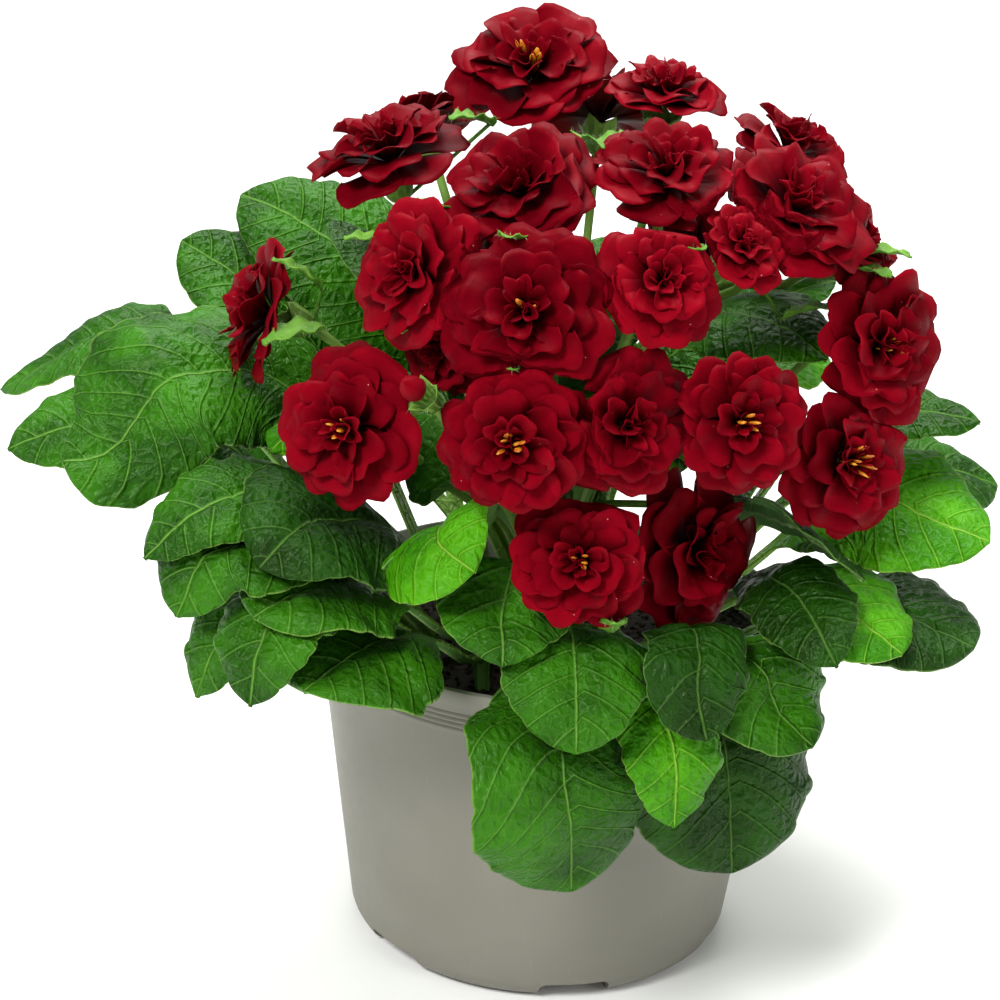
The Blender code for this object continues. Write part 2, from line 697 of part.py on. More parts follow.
def combine(obj, bodies, operation, solver):
    """Joins closed bodies to an object, or cuts them from it, by one Boolean modifier on a
    collection of them. It is applied, and the collection's objects are then removed."""
    group = bpy.data.collections.new(obj.name + "_bodies")
    bpy.context.scene.collection.children.link(group)
    parts = []
    for k, body in enumerate(bodies):
        part = make_object(f"{obj.name}_body_{k}", *body)
        if operation == "DIFFERENCE":
            part.hide_render = True
            part.display_type = "WIRE"
        bpy.context.scene.collection.objects.unlink(part)
        group.objects.link(part)
        parts.append(part)
    change = obj.modifiers.new("Combine", "BOOLEAN")
    change.operation = operation
    change.operand_type = "COLLECTION"
    change.collection = group
    change.solver = solver
    apply_modifiers(obj)
    for part in parts:
        remove_object(part)
    bpy.data.collections.remove(group)


def join_bodies(name, bodies):
    """One object from closed bodies. The exact solver is slow on so many, so the manifold
    solver joins them."""
    first = make_object(name, *bodies[0])
    if len(bodies) > 1:
        combine(first, bodies[1:], "UNION", "MANIFOLD")
    return first


def drop_scraps(obj):
    """Keeps only the biggest connected piece of an object's mesh."""
    work = bmesh.new()
    work.from_mesh(obj.data)
    bmesh.ops.remove_doubles(work, verts=work.verts, dist=1e-7)
    left = set(work.verts)
    pieces = []
    while left:
        seed = left.pop()
        piece, queue = [seed], [seed]
        while queue:
            vert = queue.pop()
            for link in vert.link_edges:
                other = link.other_vert(vert)
                if other in left:
                    left.remove(other)
                    piece.append(other)
                    queue.append(other)
        pieces.append(piece)
    pieces.sort(key=len)
    for piece in pieces[:-1]:
        bmesh.ops.delete(work, geom=piece, context="VERTS")
    bmesh.ops.triangulate(work, faces=[f for f in work.faces if len(f.verts) > 3])
    work.to_mesh(obj.data)
    work.free()


def lathe(profile, sides):
    """Closed solid of revolution about Z from a profile of (radius, height), whose first and
    last points lie on the axis."""
    points = [np.array([0.0, 0.0, profile[0][1]])]
    ring_start = []
    for radius, height in profile[1:-1]:
        ring_start.append(len(points))
        for i in range(sides):
            a = 2 * math.pi * i / sides
            points.append(np.array([radius * math.cos(a), radius * math.sin(a), height]))
    points.append(np.array([0.0, 0.0, profile[-1][1]]))
    last = len(points) - 1
    faces = []
    for i in range(sides):
        j = (i + 1) % sides
        faces.append((0, ring_start[0] + j, ring_start[0] + i))
        faces.append((last, ring_start[-1] + i, ring_start[-1] + j))
        for a, b in zip(ring_start, ring_start[1:]):
            faces += [(a + i, a + j, b + j), (a + i, b + j, b + i)]
    return points, faces


def prism(centre, radius, bottom, top, sides, turn=0.0):
    """Upright prism with a regular polygon as its section."""
    points, faces = [], []
    for height in (bottom, top):
        for i in range(sides):
            a = 2 * math.pi * i / sides + turn
            points.append(np.array([
                centre[0] + radius * math.cos(a), centre[1] + radius * math.sin(a), height
            ]))
    for i in range(sides):
        j = (i + 1) % sides
        faces.append((i, j, sides + j, sides + i))
    faces += [tuple(range(sides))[::-1], tuple(range(sides, 2 * sides))]
    return points, faces


def wall_radius(height):
    """Outer radius of the pot's tapered wall at a height."""
    return FOOT_RADIUS + (RIM_RADIUS - FOOT_RADIUS) * height / POT_HEIGHT


def notch_body(bearing, inner):
    """Cutter for a notch in the foot ring, narrower at its top, from the inner radius out."""
    out, side = outward(bearing), outward(bearing + 90)
    half = 0.5 * math.radians(NOTCH_WIDTH) * FOOT_RADIUS
    points = []
    for height, spread in ((-CUT_PAST, half), (NOTCH_HEIGHT, half - NOTCH_TAPER)):
        for radius in (inner - CUT_PAST, FOOT_RADIUS + FOOT_WIDTH):
            for way in (-1, 1):
                points.append(out * radius + side * spread * way + UP * height)
    faces = [(0, 1, 3, 2), (4, 6, 7, 5), (0, 4, 5, 1), (2, 3, 7, 6), (0, 2, 6, 4), (1, 5, 7, 3)]
    return points, faces


def build_pot():
    """The nursery pot: tapered wall, rolled rim, foot ring with notches and drain holes."""
    corner = []
    for angle in CORNER_ANGLES:
        a = math.radians(angle)
        radius = wall_radius(CORNER_RADIUS) - CORNER_RADIUS * (1 - math.cos(a))
        corner.append((radius, CORNER_RADIUS * (1 - math.sin(a))))
    foot = corner[0][0] - FOOT_SETBACK
    under_rim = POT_HEIGHT - RIM_DEPTH
    lip = wall_radius(under_rim) + RIM_LIP
    inner_floor = FLOOR_RISE + WALL
    inset, inner_height = INNER_CORNER
    profile = [
        (0.0, 0.0),
        (PAD_RADIUS, 0.0),
        (PAD_RADIUS, FLOOR_RISE),
        (foot - FOOT_WIDTH, FLOOR_RISE),
        (foot - FOOT_WIDTH, 0.0),
        (foot, 0.0),
        *corner,
        (wall_radius(under_rim), under_rim),
        (lip, under_rim + RIM_EASE),
        (lip, POT_HEIGHT - RIM_EASE),
        (lip - RIM_EASE, POT_HEIGHT),
        (RIM_RADIUS - WALL, POT_HEIGHT),
        (wall_radius(inner_height) - WALL, inner_height),
        (wall_radius(inner_floor) - WALL - inset, inner_floor),
        (0.0, inner_floor),
    ]
    pot = make_object("pot", *lathe(profile, POT_SIDES))
    cutters = []
    pitch = 360.0 / NOTCH_COUNT
    for k in range(NOTCH_COUNT):
        bearing = NOTCH_BEARING + pitch * k
        cutters.append(notch_body(bearing, foot - FOOT_WIDTH))
        centre = outward(bearing + pitch / 2) * DRAIN_RING
        low, high = FLOOR_RISE - CUT_PAST, inner_floor + CUT_PAST
        cutters.append(prism(centre, DRAIN_RADIUS, low, high, DRAIN_SIDES))
    combine(pot, cutters, "DIFFERENCE", "EXACT")
    return pot


def build_soil():
    """The growing medium, with a plain upright hole for each leaf stalk and for the crown."""
    bottom = FLOOR_RISE + WALL + SOIL_GAP
    inset, inner_height = INNER_CORNER
    shoulder = wall_radius(SOIL_LEVEL - SOIL_SHOULDER) - WALL - SOIL_GAP
    profile = [
        (0.0, bottom),
        (wall_radius(bottom) - WALL - inset - SOIL_GAP, bottom),
        (wall_radius(inner_height) - WALL - SOIL_GAP, inner_height + SOIL_GAP),
        (shoulder, SOIL_LEVEL - SOIL_SHOULDER),
        (shoulder - SOIL_SHOULDER, SOIL_LEVEL - SOIL_GAP),
        (SOIL_CROWN_RADIUS, SOIL_LEVEL),
        (0.0, SOIL_LEVEL),
    ]
    soil = make_object("soil", *lathe(profile, SOIL_SIDES))
    low, high = SOIL_LEVEL - ROOT_DEPTH - HOLE_SPARE, SOIL_LEVEL + CUT_PAST
    holes = [prism((0, 0), HUB_RADIUS + HOLE_SPARE, low, high, HUB_SIDES)]
    for root in sorted({leaf.root for leaf in LEAVES}):
        centre = outward(root[0]) * (root[1] + HOLE_SHIFT)
        turn = math.radians(root[0])
        holes.append(prism(centre, HOLE_RADIUS, low, high, HOLE_SIDES, turn))
    combine(soil, holes, "DIFFERENCE", "EXACT")
    return soil


def hub_body():
    """The short thick stem at the middle of the rosette."""
    profile = [
        (0.0, SOIL_LEVEL - ROOT_DEPTH),
        (HUB_RADIUS - 1.5, SOIL_LEVEL - ROOT_DEPTH),
        (HUB_RADIUS, SOIL_LEVEL - 1.0),
        (HUB_RADIUS - 1.2, SOIL_LEVEL + HUB_HEIGHT - 1.5),
        (0.0, SOIL_LEVEL + HUB_HEIGHT),
    ]
    return lathe(profile, HUB_SIDES)


def plan():
    """Settles the leaves and bends the flower stalks clear of them."""
    nudges, samples = settle_leaves(LEAVES + YOUNG_LEAVES)
    inner_nudges, _ = settle_leaves(LEAVES + YOUNG_LEAVES + INNER_LEAVES)
    nudges = nudges + inner_nudges[len(nudges):]
    heads = BLOOMS + BUDS
    curves = [stalk_curve(head, start, samples) for head, start in zip(heads, hub_points(heads))]
    return nudges, curves


def node_bodies():
    """Every closed body of the plant under the name of its node."""
    nudges, curves = plan()
    bodies = {"crown": [hub_body()]}
    for leaf, nudge in zip(LEAVES + YOUNG_LEAVES + INNER_LEAVES, nudges):
        bodies.setdefault(leaf.node, []).append(leaf_body(leaf, nudge))
    for head, curve in zip(BLOOMS + BUDS, curves):
        open_head = isinstance(head, Bloom)
        flare = CALYX_FLARE if open_head else BUD_FLARE
        bodies["crown"].append(stalk_body(curve, direction(*head.face), flare))
        parts = bloom_bodies(head) if open_head else [bud_body(head)]
        bodies.setdefault(head.node, []).extend(parts)
    return bodies


def srgb(code):
    """Linear colour from an sRGB hex code."""
    channels = [int(code[i : i + 2], 16) / 255 for i in (1, 3, 5)]
    linear = [c / 12.92 if c <= 0.04045 else ((c + 0.055) / 1.055) ** 2.4 for c in channels]
    return (*linear, 1.0)


def paint(obj, code, roughness):
    """Gives an object its own plain material and shades it smooth."""
    material = bpy.data.materials.new(obj.name)
    material.use_nodes = True
    shader = material.node_tree.nodes["Principled BSDF"]
    shader.inputs["Base Color"].default_value = srgb(code)
    shader.inputs["Roughness"].default_value = roughness
    shader.inputs["Metallic"].default_value = 0.0
    obj.data.materials.clear()
    obj.data.materials.append(material)
    obj.data.polygons.foreach_set("use_smooth", [True] * len(obj.data.polygons))


def main():
    """Clears the scene and builds every node."""
    for obj in list(bpy.data.objects):
        bpy.data.objects.remove(obj)
    paint(build_pot(), "#9A978C", 0.55)
    paint(build_soil(), "#2B2018", 0.95)
    for name, bodies in node_bodies().items():
        obj = join_bodies(name, bodies)
        drop_scraps(obj)
        if name.startswith(("bloom", "bud")):
            paint(obj, "#A3051A", 0.6)
        elif name == "crown":
            paint(obj, "#6E9A3C", 0.6)
        else:
            paint(obj, "#3F7F22", 0.5)


if __name__ == "__main__":
    main()
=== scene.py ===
"""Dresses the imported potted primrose: quilted leaves, double blooms, calyces, pot and soil.

Lengths are millimetres and angles are degrees until a mesh is made, which is in metres.
Bearing 0 points to the front (-Y), 90 to the right (+X), 180 to the back.
"""

import logging
import math
from dataclasses import dataclass, field
from enum import Enum

import bmesh
import bpy
import numpy as np
from mathutils import Matrix, Vector

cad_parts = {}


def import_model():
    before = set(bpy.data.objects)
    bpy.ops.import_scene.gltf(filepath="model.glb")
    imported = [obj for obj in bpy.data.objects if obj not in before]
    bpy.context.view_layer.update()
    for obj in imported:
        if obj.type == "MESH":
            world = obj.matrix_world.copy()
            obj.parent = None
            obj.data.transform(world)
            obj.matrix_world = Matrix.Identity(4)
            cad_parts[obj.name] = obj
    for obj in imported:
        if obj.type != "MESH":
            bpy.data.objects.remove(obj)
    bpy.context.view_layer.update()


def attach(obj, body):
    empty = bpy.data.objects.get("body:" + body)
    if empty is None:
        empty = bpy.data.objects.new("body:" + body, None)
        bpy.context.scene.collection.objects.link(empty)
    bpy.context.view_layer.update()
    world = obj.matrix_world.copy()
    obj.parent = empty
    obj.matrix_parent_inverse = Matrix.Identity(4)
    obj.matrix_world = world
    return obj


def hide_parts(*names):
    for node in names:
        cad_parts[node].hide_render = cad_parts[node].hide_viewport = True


LOG = logging.getLogger("primrose")
MM = 0.001
UP = np.array([0.0, 0.0, 1.0])
BODY = "root"

# Pot and soil, as in the solids
RIM_RADIUS = 65.0
POT_HEIGHT = 95.0
FOOT_RADIUS = 53.0
FLOOR_RISE = 6.2
WALL = 1.2
SOIL_LEVEL = 84.0

# Leaves, as in the solids
BLADE_THICKNESS = 0.8
RIB_THICKNESS = 1.1
ROOT_EDGE = 0.9
STALK_HALF_WIDTH = 2.2
KEEL = 2.1
KEEL_FLANK = 0.85
WIDEST_AT = 0.62
SCALLOP = 0.04
SCALLOPS = 12.5
START_ABOVE_SOIL = 1.5
ROOT_DEPTH = 7.0
RIB = np.linspace(0.0, 1.0, 33)
SAMPLE_T = np.linspace(0.04, 0.99, 22)
SAMPLE_V = np.linspace(-1.0, 1.0, 7)
LEAF_GAP = 2.4
STALK_EXTRA_GAP = 1.4
SETTLE_ROUNDS = 10
SETTLE_REACH = 11.0
RIM_REACH = 8.0
WALL_REACH = 3.0
SETTLE_SIDE = 5.5
BLOOM_CLEARANCE = 3.0
BLOOM_HALF_DEPTH = 7.0

# Stalks and blooms, as in the solids
HUB_RADIUS = 10.5
HUB_HEIGHT = 6.0
STALK_GAP = 2.0
STALK_BLOOM_GAP = 1.5
CALYX_LENGTH = 8.5
CALYX_RADIUS = 3.4
SEAT_GAP = 0.5
GOLDEN_ANGLE = 137.5
BLOOM_DEPTH = 5.7
BLOOM_GAP = 0.35
OVERLAP_TILT = 45.0

Array = np.ndarray


class Tone(Enum):
    """How old a leaf is, which sets its greens."""

    YOUNG = "young"
    MIDDLE = "middle"
    OLD = "old"


@dataclass(frozen=True)
class Leaf:
    """A leaf: the bearing and radius of its root and of its tip, the tip's height over the
    soil, the angles at which it leaves and arrives, and the form and tone of its blade."""

    node: str
    root: tuple
    tip: tuple
    height: float
    rise: float
    droop: float
    width: float
    turn: float = 0.0
    roll: float = 0.0
    blade: float = 0.64
    arch: float = 0.42
    tone: Tone = Tone.MIDDLE
    fold: float = 0.24
    curl: float = 0.36
    wave: float = 0.05


@dataclass(frozen=True)
class Bloom:
    """A double flower: its place, where it faces, its diameter, its layer over its neighbours, how
    far its heart has opened and how much painted light brightens its red."""

    node: str
    place: tuple
    face: tuple
    diameter: float
    layer: int = 0
    spin: float = 0.0
    eye: float = 0.0
    bright: float = 0.5


@dataclass(frozen=True)
class Bud:
    """A closed bud: where its base sits in its calyx and which way it points."""

    node: str
    place: tuple
    face: tuple


@dataclass(frozen=True)
class Bract:
    """A small leaf beside the blooms: its foot, its bearing and lift, length and width."""

    place: tuple
    bearing: float
    lift: float
    length: float
    width: float


OLD, YOUNG = Tone.OLD, Tone.YOUNG

LEAVES = (
    Leaf("leaf_01", (37, 38), (33, 87), -31, 50, -84, 54, arch=0.50, tone=OLD),
    Leaf("leaf_02", (-13, 38), (4, 89), -29, 60, -84, 50, arch=0.52),
    Leaf("leaf_03", (18, 38), (19, 94), -10, 46, -80, 26, arch=0.48, tone=YOUNG),
    Leaf("leaf_04", (0, 30), (3, 99), 14, 52, -66, 36),
    Leaf("leaf_05", (34, 29), (39, 102), 9, 36, -30, 38, turn=15, roll=10),
    Leaf("leaf_06", (16, 29), (22, 98), 15, 34, -40, 28, tone=OLD),
    Leaf("leaf_07", (-16, 30), (-8, 95), 34, 60, -62, 32),
    Leaf("leaf_08", (-28, 38), (-35, 106), 22, 48, -16, 48, roll=-30),
    Leaf("leaf_09", (-52, 38), (-49, 117), 14, 36, -72, 24),
    Leaf("leaf_09", (-52, 38), (-41, 112), 14, 36, -72, 28),
    Leaf("leaf_10", (-38, 30), (-42, 110), 38, 42, -14, 42, roll=-15),
    Leaf("leaf_11", (-60, 30), (-50, 120), 32, 40, -30, 36, roll=-10),
    Leaf("leaf_12", (-75, 34), (-55, 121), 45, 44, -20, 26),
    Leaf("leaf_13", (-44, 22), (-44, 106), 44, 50, -34, 44, roll=-25, tone=OLD),
    Leaf("leaf_14", (-84, 38), (-78, 146), 60, 46, -25, 32, roll=-20),
    Leaf("leaf_15", (-79, 21), (-69, 134), 64, 50, 4, 46, roll=-34),
    Leaf("leaf_16", (-98, 34), (-92, 152), 64, 40, -34, 36, roll=-5),
    Leaf("leaf_17", (-24, 20), (-13, 92), 56, 62, -20, 38, turn=72, roll=45, arch=0.36,
         tone=YOUNG),
    Leaf("leaf_18", (60, 38), (60, 121), 29, 38, -16, 46, roll=10, blade=0.58, tone=OLD),
    Leaf("leaf_19", (47, 30), (49, 112), 32, 46, -26, 38, roll=15, blade=0.60, tone=YOUNG),
    Leaf("leaf_20", (74, 30), (67, 118), 52, 50, -14, 42, roll=20, tone=YOUNG),
    Leaf("leaf_21", (70, 24), (43, 103), 24, 36, -44, 26, tone=OLD),
    Leaf("leaf_22", (92, 30), (78, 110), 76, 56, -10, 32),
    Leaf("leaf_23", (-112, 30), (-100, 106), 104, 62, 24, 44, roll=-15),
    Leaf("leaf_24", (-136, 24), (-112, 98), 112, 78, 14, 46, roll=-15),
    Leaf("leaf_25", (-100, 16), (-104, 66), 112, 80, 30, 42, tone=OLD),
    Leaf("leaf_26", (112, 36), (98, 124), 44, 50, -24, 46),
    Leaf("leaf_26", (112, 36), (130, 118), 30, 50, -34, 44, tone=OLD),
    Leaf("leaf_27", (165, 36), (156, 122), 44, 52, -24, 46),
    Leaf("leaf_27", (165, 36), (186, 114), 28, 52, -40, 46, tone=OLD),
    Leaf("leaf_28", (-146, 36), (-150, 124), 46, 52, -22, 46),
    Leaf("leaf_28", (-146, 36), (-122, 122), 34, 52, -34, 44),
    Leaf("leaf_29", (170, 18), (172, 90), 92, 76, 0, 44),
    Leaf("leaf_30", (122, 22), (122, 88), 72, 68, -12, 42, tone=YOUNG),
)

YOUNG_LEAVES = (
    Leaf("crown", (-60, 6), (-60, 92), 50, 72, -56, 26, tone=YOUNG),
    Leaf("crown", (8, 6), (27, 60), 70, 76, -10, 30, tone=YOUNG),
    Leaf("crown", (50, 6), (50, 98), 41, 60, -30, 24, tone=OLD),
    Leaf("crown", (75, 6), (55, 82), 99, 80, -20, 38),
    Leaf("crown", (125, 6), (106, 76), 100, 82, 10, 32),
)

INNER_LEAVES = (
    Leaf("crown", (30, 6), (33, 62), 46, 60, -14, 38, arch=0.40),
    Leaf("crown", (-25, 6), (-22, 64), 60, 64, -6, 38),
    Leaf("crown", (176, 6), (176, 32), 100, 80, 80, 54, blade=0.92),
    Leaf("crown", (0, 6), (4, 42), 104, 84, 24, 44),
)

# Where a bloom is given a last number, it sets how much painted light brightens that bloom's red.
BLOOMS = (
    Bloom("bloom_01", (-12, 6, 241), (-10, 56), 44, 2, eye=0.8),
    Bloom("bloom_02", (-47, -27, 226), (-60, 72), 40, 1, 20, bright=0.25),
    Bloom("bloom_03", (-13, -50, 223), (-25, 52), 42, 0, 10, bright=0.1),
    Bloom("bloom_04", (21, -47, 228), (5, 60), 38, 2, 30, bright=0.5),
    Bloom("bloom_05", (22, -10, 240), (25, 76), 32, 0, bright=0.8),
    Bloom("bloom_06", (53, -43, 219), (40, 52), 45, 2, 15, bright=0.6),
    Bloom("bloom_06", (71, -30, 206), (70, 30), 34, 0, 40, bright=0.6),
    Bloom("bloom_07", (55, -12, 228), (65, 62), 32, 1, bright=0.4),
    Bloom("bloom_08", (-78, -31, 184), (-78, 18), 38, 0, 25, bright=0.3),
    Bloom("bloom_09", (-38, -66, 206), (-42, 22), 37, 1, 5, bright=0.75),
    Bloom("bloom_10", (-11, -79, 201), (-5, 28), 42, 2, 30, eye=0.3, bright=0.15),
    Bloom("bloom_11", (20, -74, 208), (15, 28), 33, 1, bright=1.0),
    Bloom("bloom_12", (40, -60, 214), (35, 42), 24, 3, 10, bright=1.0),
    Bloom("bloom_13", (-53, -68, 167), (-24, 16), 40, 1, 12, eye=0.6, bright=0.5),
    Bloom("bloom_14", (-13, -88, 172), (-8, 12), 37, 3, 40, eye=0.8, bright=0.45),
    Bloom("bloom_15", (13, -84, 176), (22, 12), 38, 0, 8, bright=0.35),
    Bloom("bloom_16", (40, -81, 177), (16, 14), 35, 1, 22, eye=0.6, bright=0.45),
    Bloom("bloom_17", (76, -46, 186), (34, 16), 41, 2, 33, eye=0.5, bright=0.55),
    Bloom("bloom_18", (69, -58, 160), (32, 12), 39, 1, eye=1.0, bright=0.65),
    Bloom("bloom_19", (4, -84, 142), (-6, 16), 35, 2, 18, eye=0.6, bright=0.55),
    Bloom("bloom_20", (33, -57, 134), (46, 4), 44, 1, 6, bright=0.3),
    Bloom("bloom_21", (-31, -66, 188), (-35, 10), 25, -1, bright=0.4),
    Bloom("bloom_22", (-42, 26, 220), (-135, 50), 38, 0, 14),
    Bloom("bloom_23", (8, 44, 224), (172, 50), 40, 1, 28, eye=0.5),
    Bloom("bloom_24", (60, 32, 205), (118, 36), 38, 0, 2),
    Bloom("bloom_25", (-16, 74, 186), (-168, 22), 38, 1, 36, eye=0.6),
    Bloom("bloom_26", (40, 66, 180), (145, 20), 36, 0, 20),
)

BUDS = (Bud("bud_01", (-35, -82, 181), (-30, 34)),)

BRACTS = (
    Bract((-36, -58, 189), -20, 30, 13, 8),
    Bract((-17, -74, 184), 20, 40, 12, 7),
    Bract((12, -80, 122), 10, 50, 12, 7),
    Bract((-44, -52, 208), -60, 30, 12, 7),
    Bract((64, -34, 202), 60, 20, 15, 8),
    Bract((70, -34, 206), 95, 15, 13, 7),
    Bract((-22, -18, 231), -40, 30, 14, 8),
    Bract((-28, -46, 212), -60, 50, 13, 8),
    Bract((-14, -62, 211), -10, 45, 12, 8),
    Bract((2, -22, 228), 20, 25, 20, 12),
    Bract((24, -62, 210), 30, 45, 11, 7),
    Bract((-60, -44, 184), -60, 10, 16, 10),
    Bract((-62, -36, 192), -70, 50, 14, 8),
    Bract((-28, -66, 172), -20, 30, 13, 7),
    Bract((52, -40, 190), 60, 40, 14, 8),
)


def unit(vector: Array) -> Array:
    """Returns the vector at length one."""
    return vector / np.linalg.norm(vector)


def outward(bearing: float) -> Array:
    """Returns the level unit vector at a bearing."""
    a = math.radians(bearing)
    return np.array([math.sin(a), -math.cos(a), 0.0])


def direction(bearing: float, lift: float) -> Array:
    """Returns the unit vector at a bearing and an angle above the level."""
    b = math.radians(lift)
    return outward(bearing) * math.cos(b) + UP * math.sin(b)


def bezier(points: tuple, t: Array) -> Array:
    """Returns points of a cubic Bezier curve.

    Args:
        points: Its four control points.
        t: Parameters from 0 to 1.

    Returns:
        One point for each parameter.
    """
    a, b, c, d = points
    t = np.asarray(t, float)[:, None]
    s = 1 - t
    return s**3 * a + 3 * s * s * t * b + 3 * s * t * t * c + t**3 * d


def smoothstep(low: float, high: float, x: Array) -> Array:
    """Returns x eased from 0 at low to 1 at high."""
    u = np.clip((np.asarray(x, float) - low) / (high - low), 0, 1)
    return u * u * (3 - 2 * u)


def half_width(leaf: Leaf, t: Array) -> Array:
    """Returns the leaf's half-width at t: a winged stalk that opens into an obovate blade."""
    u = np.clip((t - (1 - leaf.blade)) / leaf.blade, 0, 1)
    opening = np.sin(0.5 * math.pi * np.clip(u / WIDEST_AT, 0, 1)) ** 1.25
    past = np.clip((u - WIDEST_AT) / (1 - WIDEST_AT), 0, 1)
    closing = np.sqrt(np.clip(1 - past**2.4, 0, 1))
    scallop = 1 + SCALLOP * np.sin(SCALLOPS * math.pi * t)
    blade = 0.5 * leaf.width * np.where(u < WIDEST_AT, opening, closing) * scallop
    return np.maximum(blade, STALK_HALF_WIDTH)


def leaf_root(leaf: Leaf) -> Array:
    """Returns the point where the leaf's stalk comes out of the soil."""
    return outward(leaf.root[0]) * leaf.root[1] + UP * SOIL_LEVEL


def midrib(leaf: Leaf, nudge: Array) -> tuple:
    """Lays out a leaf's midrib.

    Args:
        leaf: The leaf.
        nudge: How far each midrib point has been moved to rest on its neighbours.

    Returns:
        Points, tangents, and sideways and upward unit vectors at the RIB parameters.
    """
    first = leaf_root(leaf) + UP * START_ABOVE_SOIL
    last = outward(leaf.tip[0]) * leaf.tip[1] + UP * (SOIL_LEVEL + leaf.height)
    span = np.linalg.norm(last - first)
    bend = math.sin(math.radians(leaf.rise - leaf.droop) / 2) ** 2
    arch = leaf.arch * span * (1 + 0.55 * bend)
    heading = 0.5 * (leaf.root[0] + leaf.tip[0])
    second = first + arch * direction(heading, leaf.rise)
    third = last - arch * direction(leaf.tip[0] + leaf.turn, leaf.droop)
    place = bezier((first, second, third, last), RIB) + nudge
    along = np.gradient(place, axis=0)
    along /= np.linalg.norm(along, axis=1, keepdims=True)
    across = np.empty_like(along)
    side = outward(heading + 90)
    for k, tangent in enumerate(along):
        side = unit(side - tangent * (side @ tangent))
        across[k] = side
    above = np.cross(along, across)
    turn = np.radians(leaf.roll) * np.clip(RIB / 0.6, 0, 1)[:, None] ** 1.5
    rolled = across * np.cos(turn) + above * np.sin(turn)
    return place, along, rolled, np.cross(along, rolled)


def leaf_sheet(leaf: Leaf, nudge: Array, t: Array, v: Array, widen: Array | float = 1.0) -> tuple:
    """Lays out the top surface of a leaf.

    Args:
        leaf: The leaf.
        nudge: Its midrib's settling moves.
        t: Places along it, 0 at the root and 1 at the tip.
        v: Places across it, -1 and 1 at the edges.
        widen: Factor on the half-width for each place along and across.

    Returns:
        Grids of points and of unit normals.
    """
    frames = midrib(leaf, nudge)
    place, along, across, above = (
        np.stack([np.interp(t, RIB, part[:, i]) for i in range(3)], axis=1)[:, None, :]
        for part in frames
    )
    half = half_width(leaf, t)[:, None, None]
    t, v = t[:, None, None], v[None, :, None]
    blade = np.clip((t - (1 - leaf.blade)) / (0.5 * leaf.blade), 0, 1)
    phase = math.radians(37 * leaf.tip[0])
    ripple = leaf.wave * np.sin(17 * t + phase + 1.3 * np.sign(v))
    lift = leaf.fold * np.abs(v) - leaf.curl * np.abs(v) ** 2.2 + 2 * ripple * v * v
    slope = np.sign(v) * (leaf.fold - 2.2 * leaf.curl * np.abs(v) ** 1.2)
    points = place + half * (across * v * widen + above * lift * blade)
    normals = above - across * slope * blade
    return points, normals / np.linalg.norm(normals, axis=2, keepdims=True)


def rim_samples() -> tuple:
    """Samples the pot's rim and wall, for leaves to rest clear of.

    Returns:
        Points, outward normals and reaches.
    """
    points, normals, reaches = [], [], []
    profile = (
        (-4.0, 0.0, -0.3, 1.0),
        (-0.5, 0.0, 0.6, 1.0),
        (1.2, 3.0, 1.0, 0.3),
        (0.0, 8.0, 1.0, 0.0),
        (-1.0, 16.0, 1.0, 0.0),
        (-2.0, 24.0, 1.0, 0.0),
        (-3.0, 32.0, 1.0, 0.0),
    )
    for bearing in range(0, 360, 6):
        out = outward(bearing)
        for past, depth, sideways, upward in profile:
            points.append(out * (RIM_RADIUS + past) + UP * (POT_HEIGHT - depth))
            normals.append(unit(out * sideways + UP * upward))
            reaches.append(RIM_REACH if sideways < upward else WALL_REACH)
    return np.array(points), np.array(normals), np.array(reaches)


def clear_of_samples(
    points: Array, others: Array, normals: Array, reaches: Array, gap: Array
) -> Array:
    """Returns how far each point must move to stand at least gap above nearby samples."""
    reach = SETTLE_REACH + 1
    low, high = points.min(axis=0) - reach, points.max(axis=0) + reach
    close = np.all((others > low) & (others < high), 1)
    if not close.any():
        return np.zeros_like(points)
    others, normals, reaches = others[close], normals[close], reaches[close]
    offset = points[:, None, :] - others[None, :, :]
    height = np.einsum("ijk,jk->ij", offset, normals)
    aside = np.linalg.norm(offset - height[..., None] * normals[None], axis=2)
    short = gap[:, None] - height
    near = (aside < SETTLE_SIDE) & (short > 0) & (height > -reaches[None, :])
    short = np.where(near, short * (1 - 0.5 * (aside / SETTLE_SIDE) ** 2), 0)
    best = short.argmax(axis=1)
    return short[np.arange(len(points)), best][:, None] * normals[best]


def clear_of_blooms(points: Array, gap: float, own: Bloom | Bud | None = None) -> Array:
    """Returns how far each point must move to stay off every other bloom."""
    push = np.zeros_like(points)
    for bloom in BLOOMS:
        if bloom is own:
            continue
        face = direction(*bloom.face)
        offset = points - np.array(bloom.place) + 1.0 * face
        depth = offset @ face
        aside = offset - depth[:, None] * face
        radius = 0.5 * bloom.diameter + gap
        thick = BLOOM_HALF_DEPTH + gap
        measure = np.sqrt((np.linalg.norm(aside, axis=1) / radius) ** 2 + (depth / thick) ** 2)
        gradient = aside / radius**2 + depth[:, None] * face / thick**2
        gradient /= np.maximum(np.linalg.norm(gradient, axis=1, keepdims=True), 1e-9)
        if own is None:
            gradient[:, 2] = -np.abs(gradient[:, 2])
        short = np.clip(1 - measure, 0, 1) * thick
        push += short[:, None] * gradient
    return push


def smooth(rows: Array, passes: int = 3) -> Array:
    """Returns rows of vectors, each blended with its neighbours."""
    for _ in range(passes):
        padded = np.vstack([rows[:1], rows, rows[-1:]])
        rows = 0.25 * padded[:-2] + 0.5 * padded[1:-1] + 0.25 * padded[2:]
    return rows


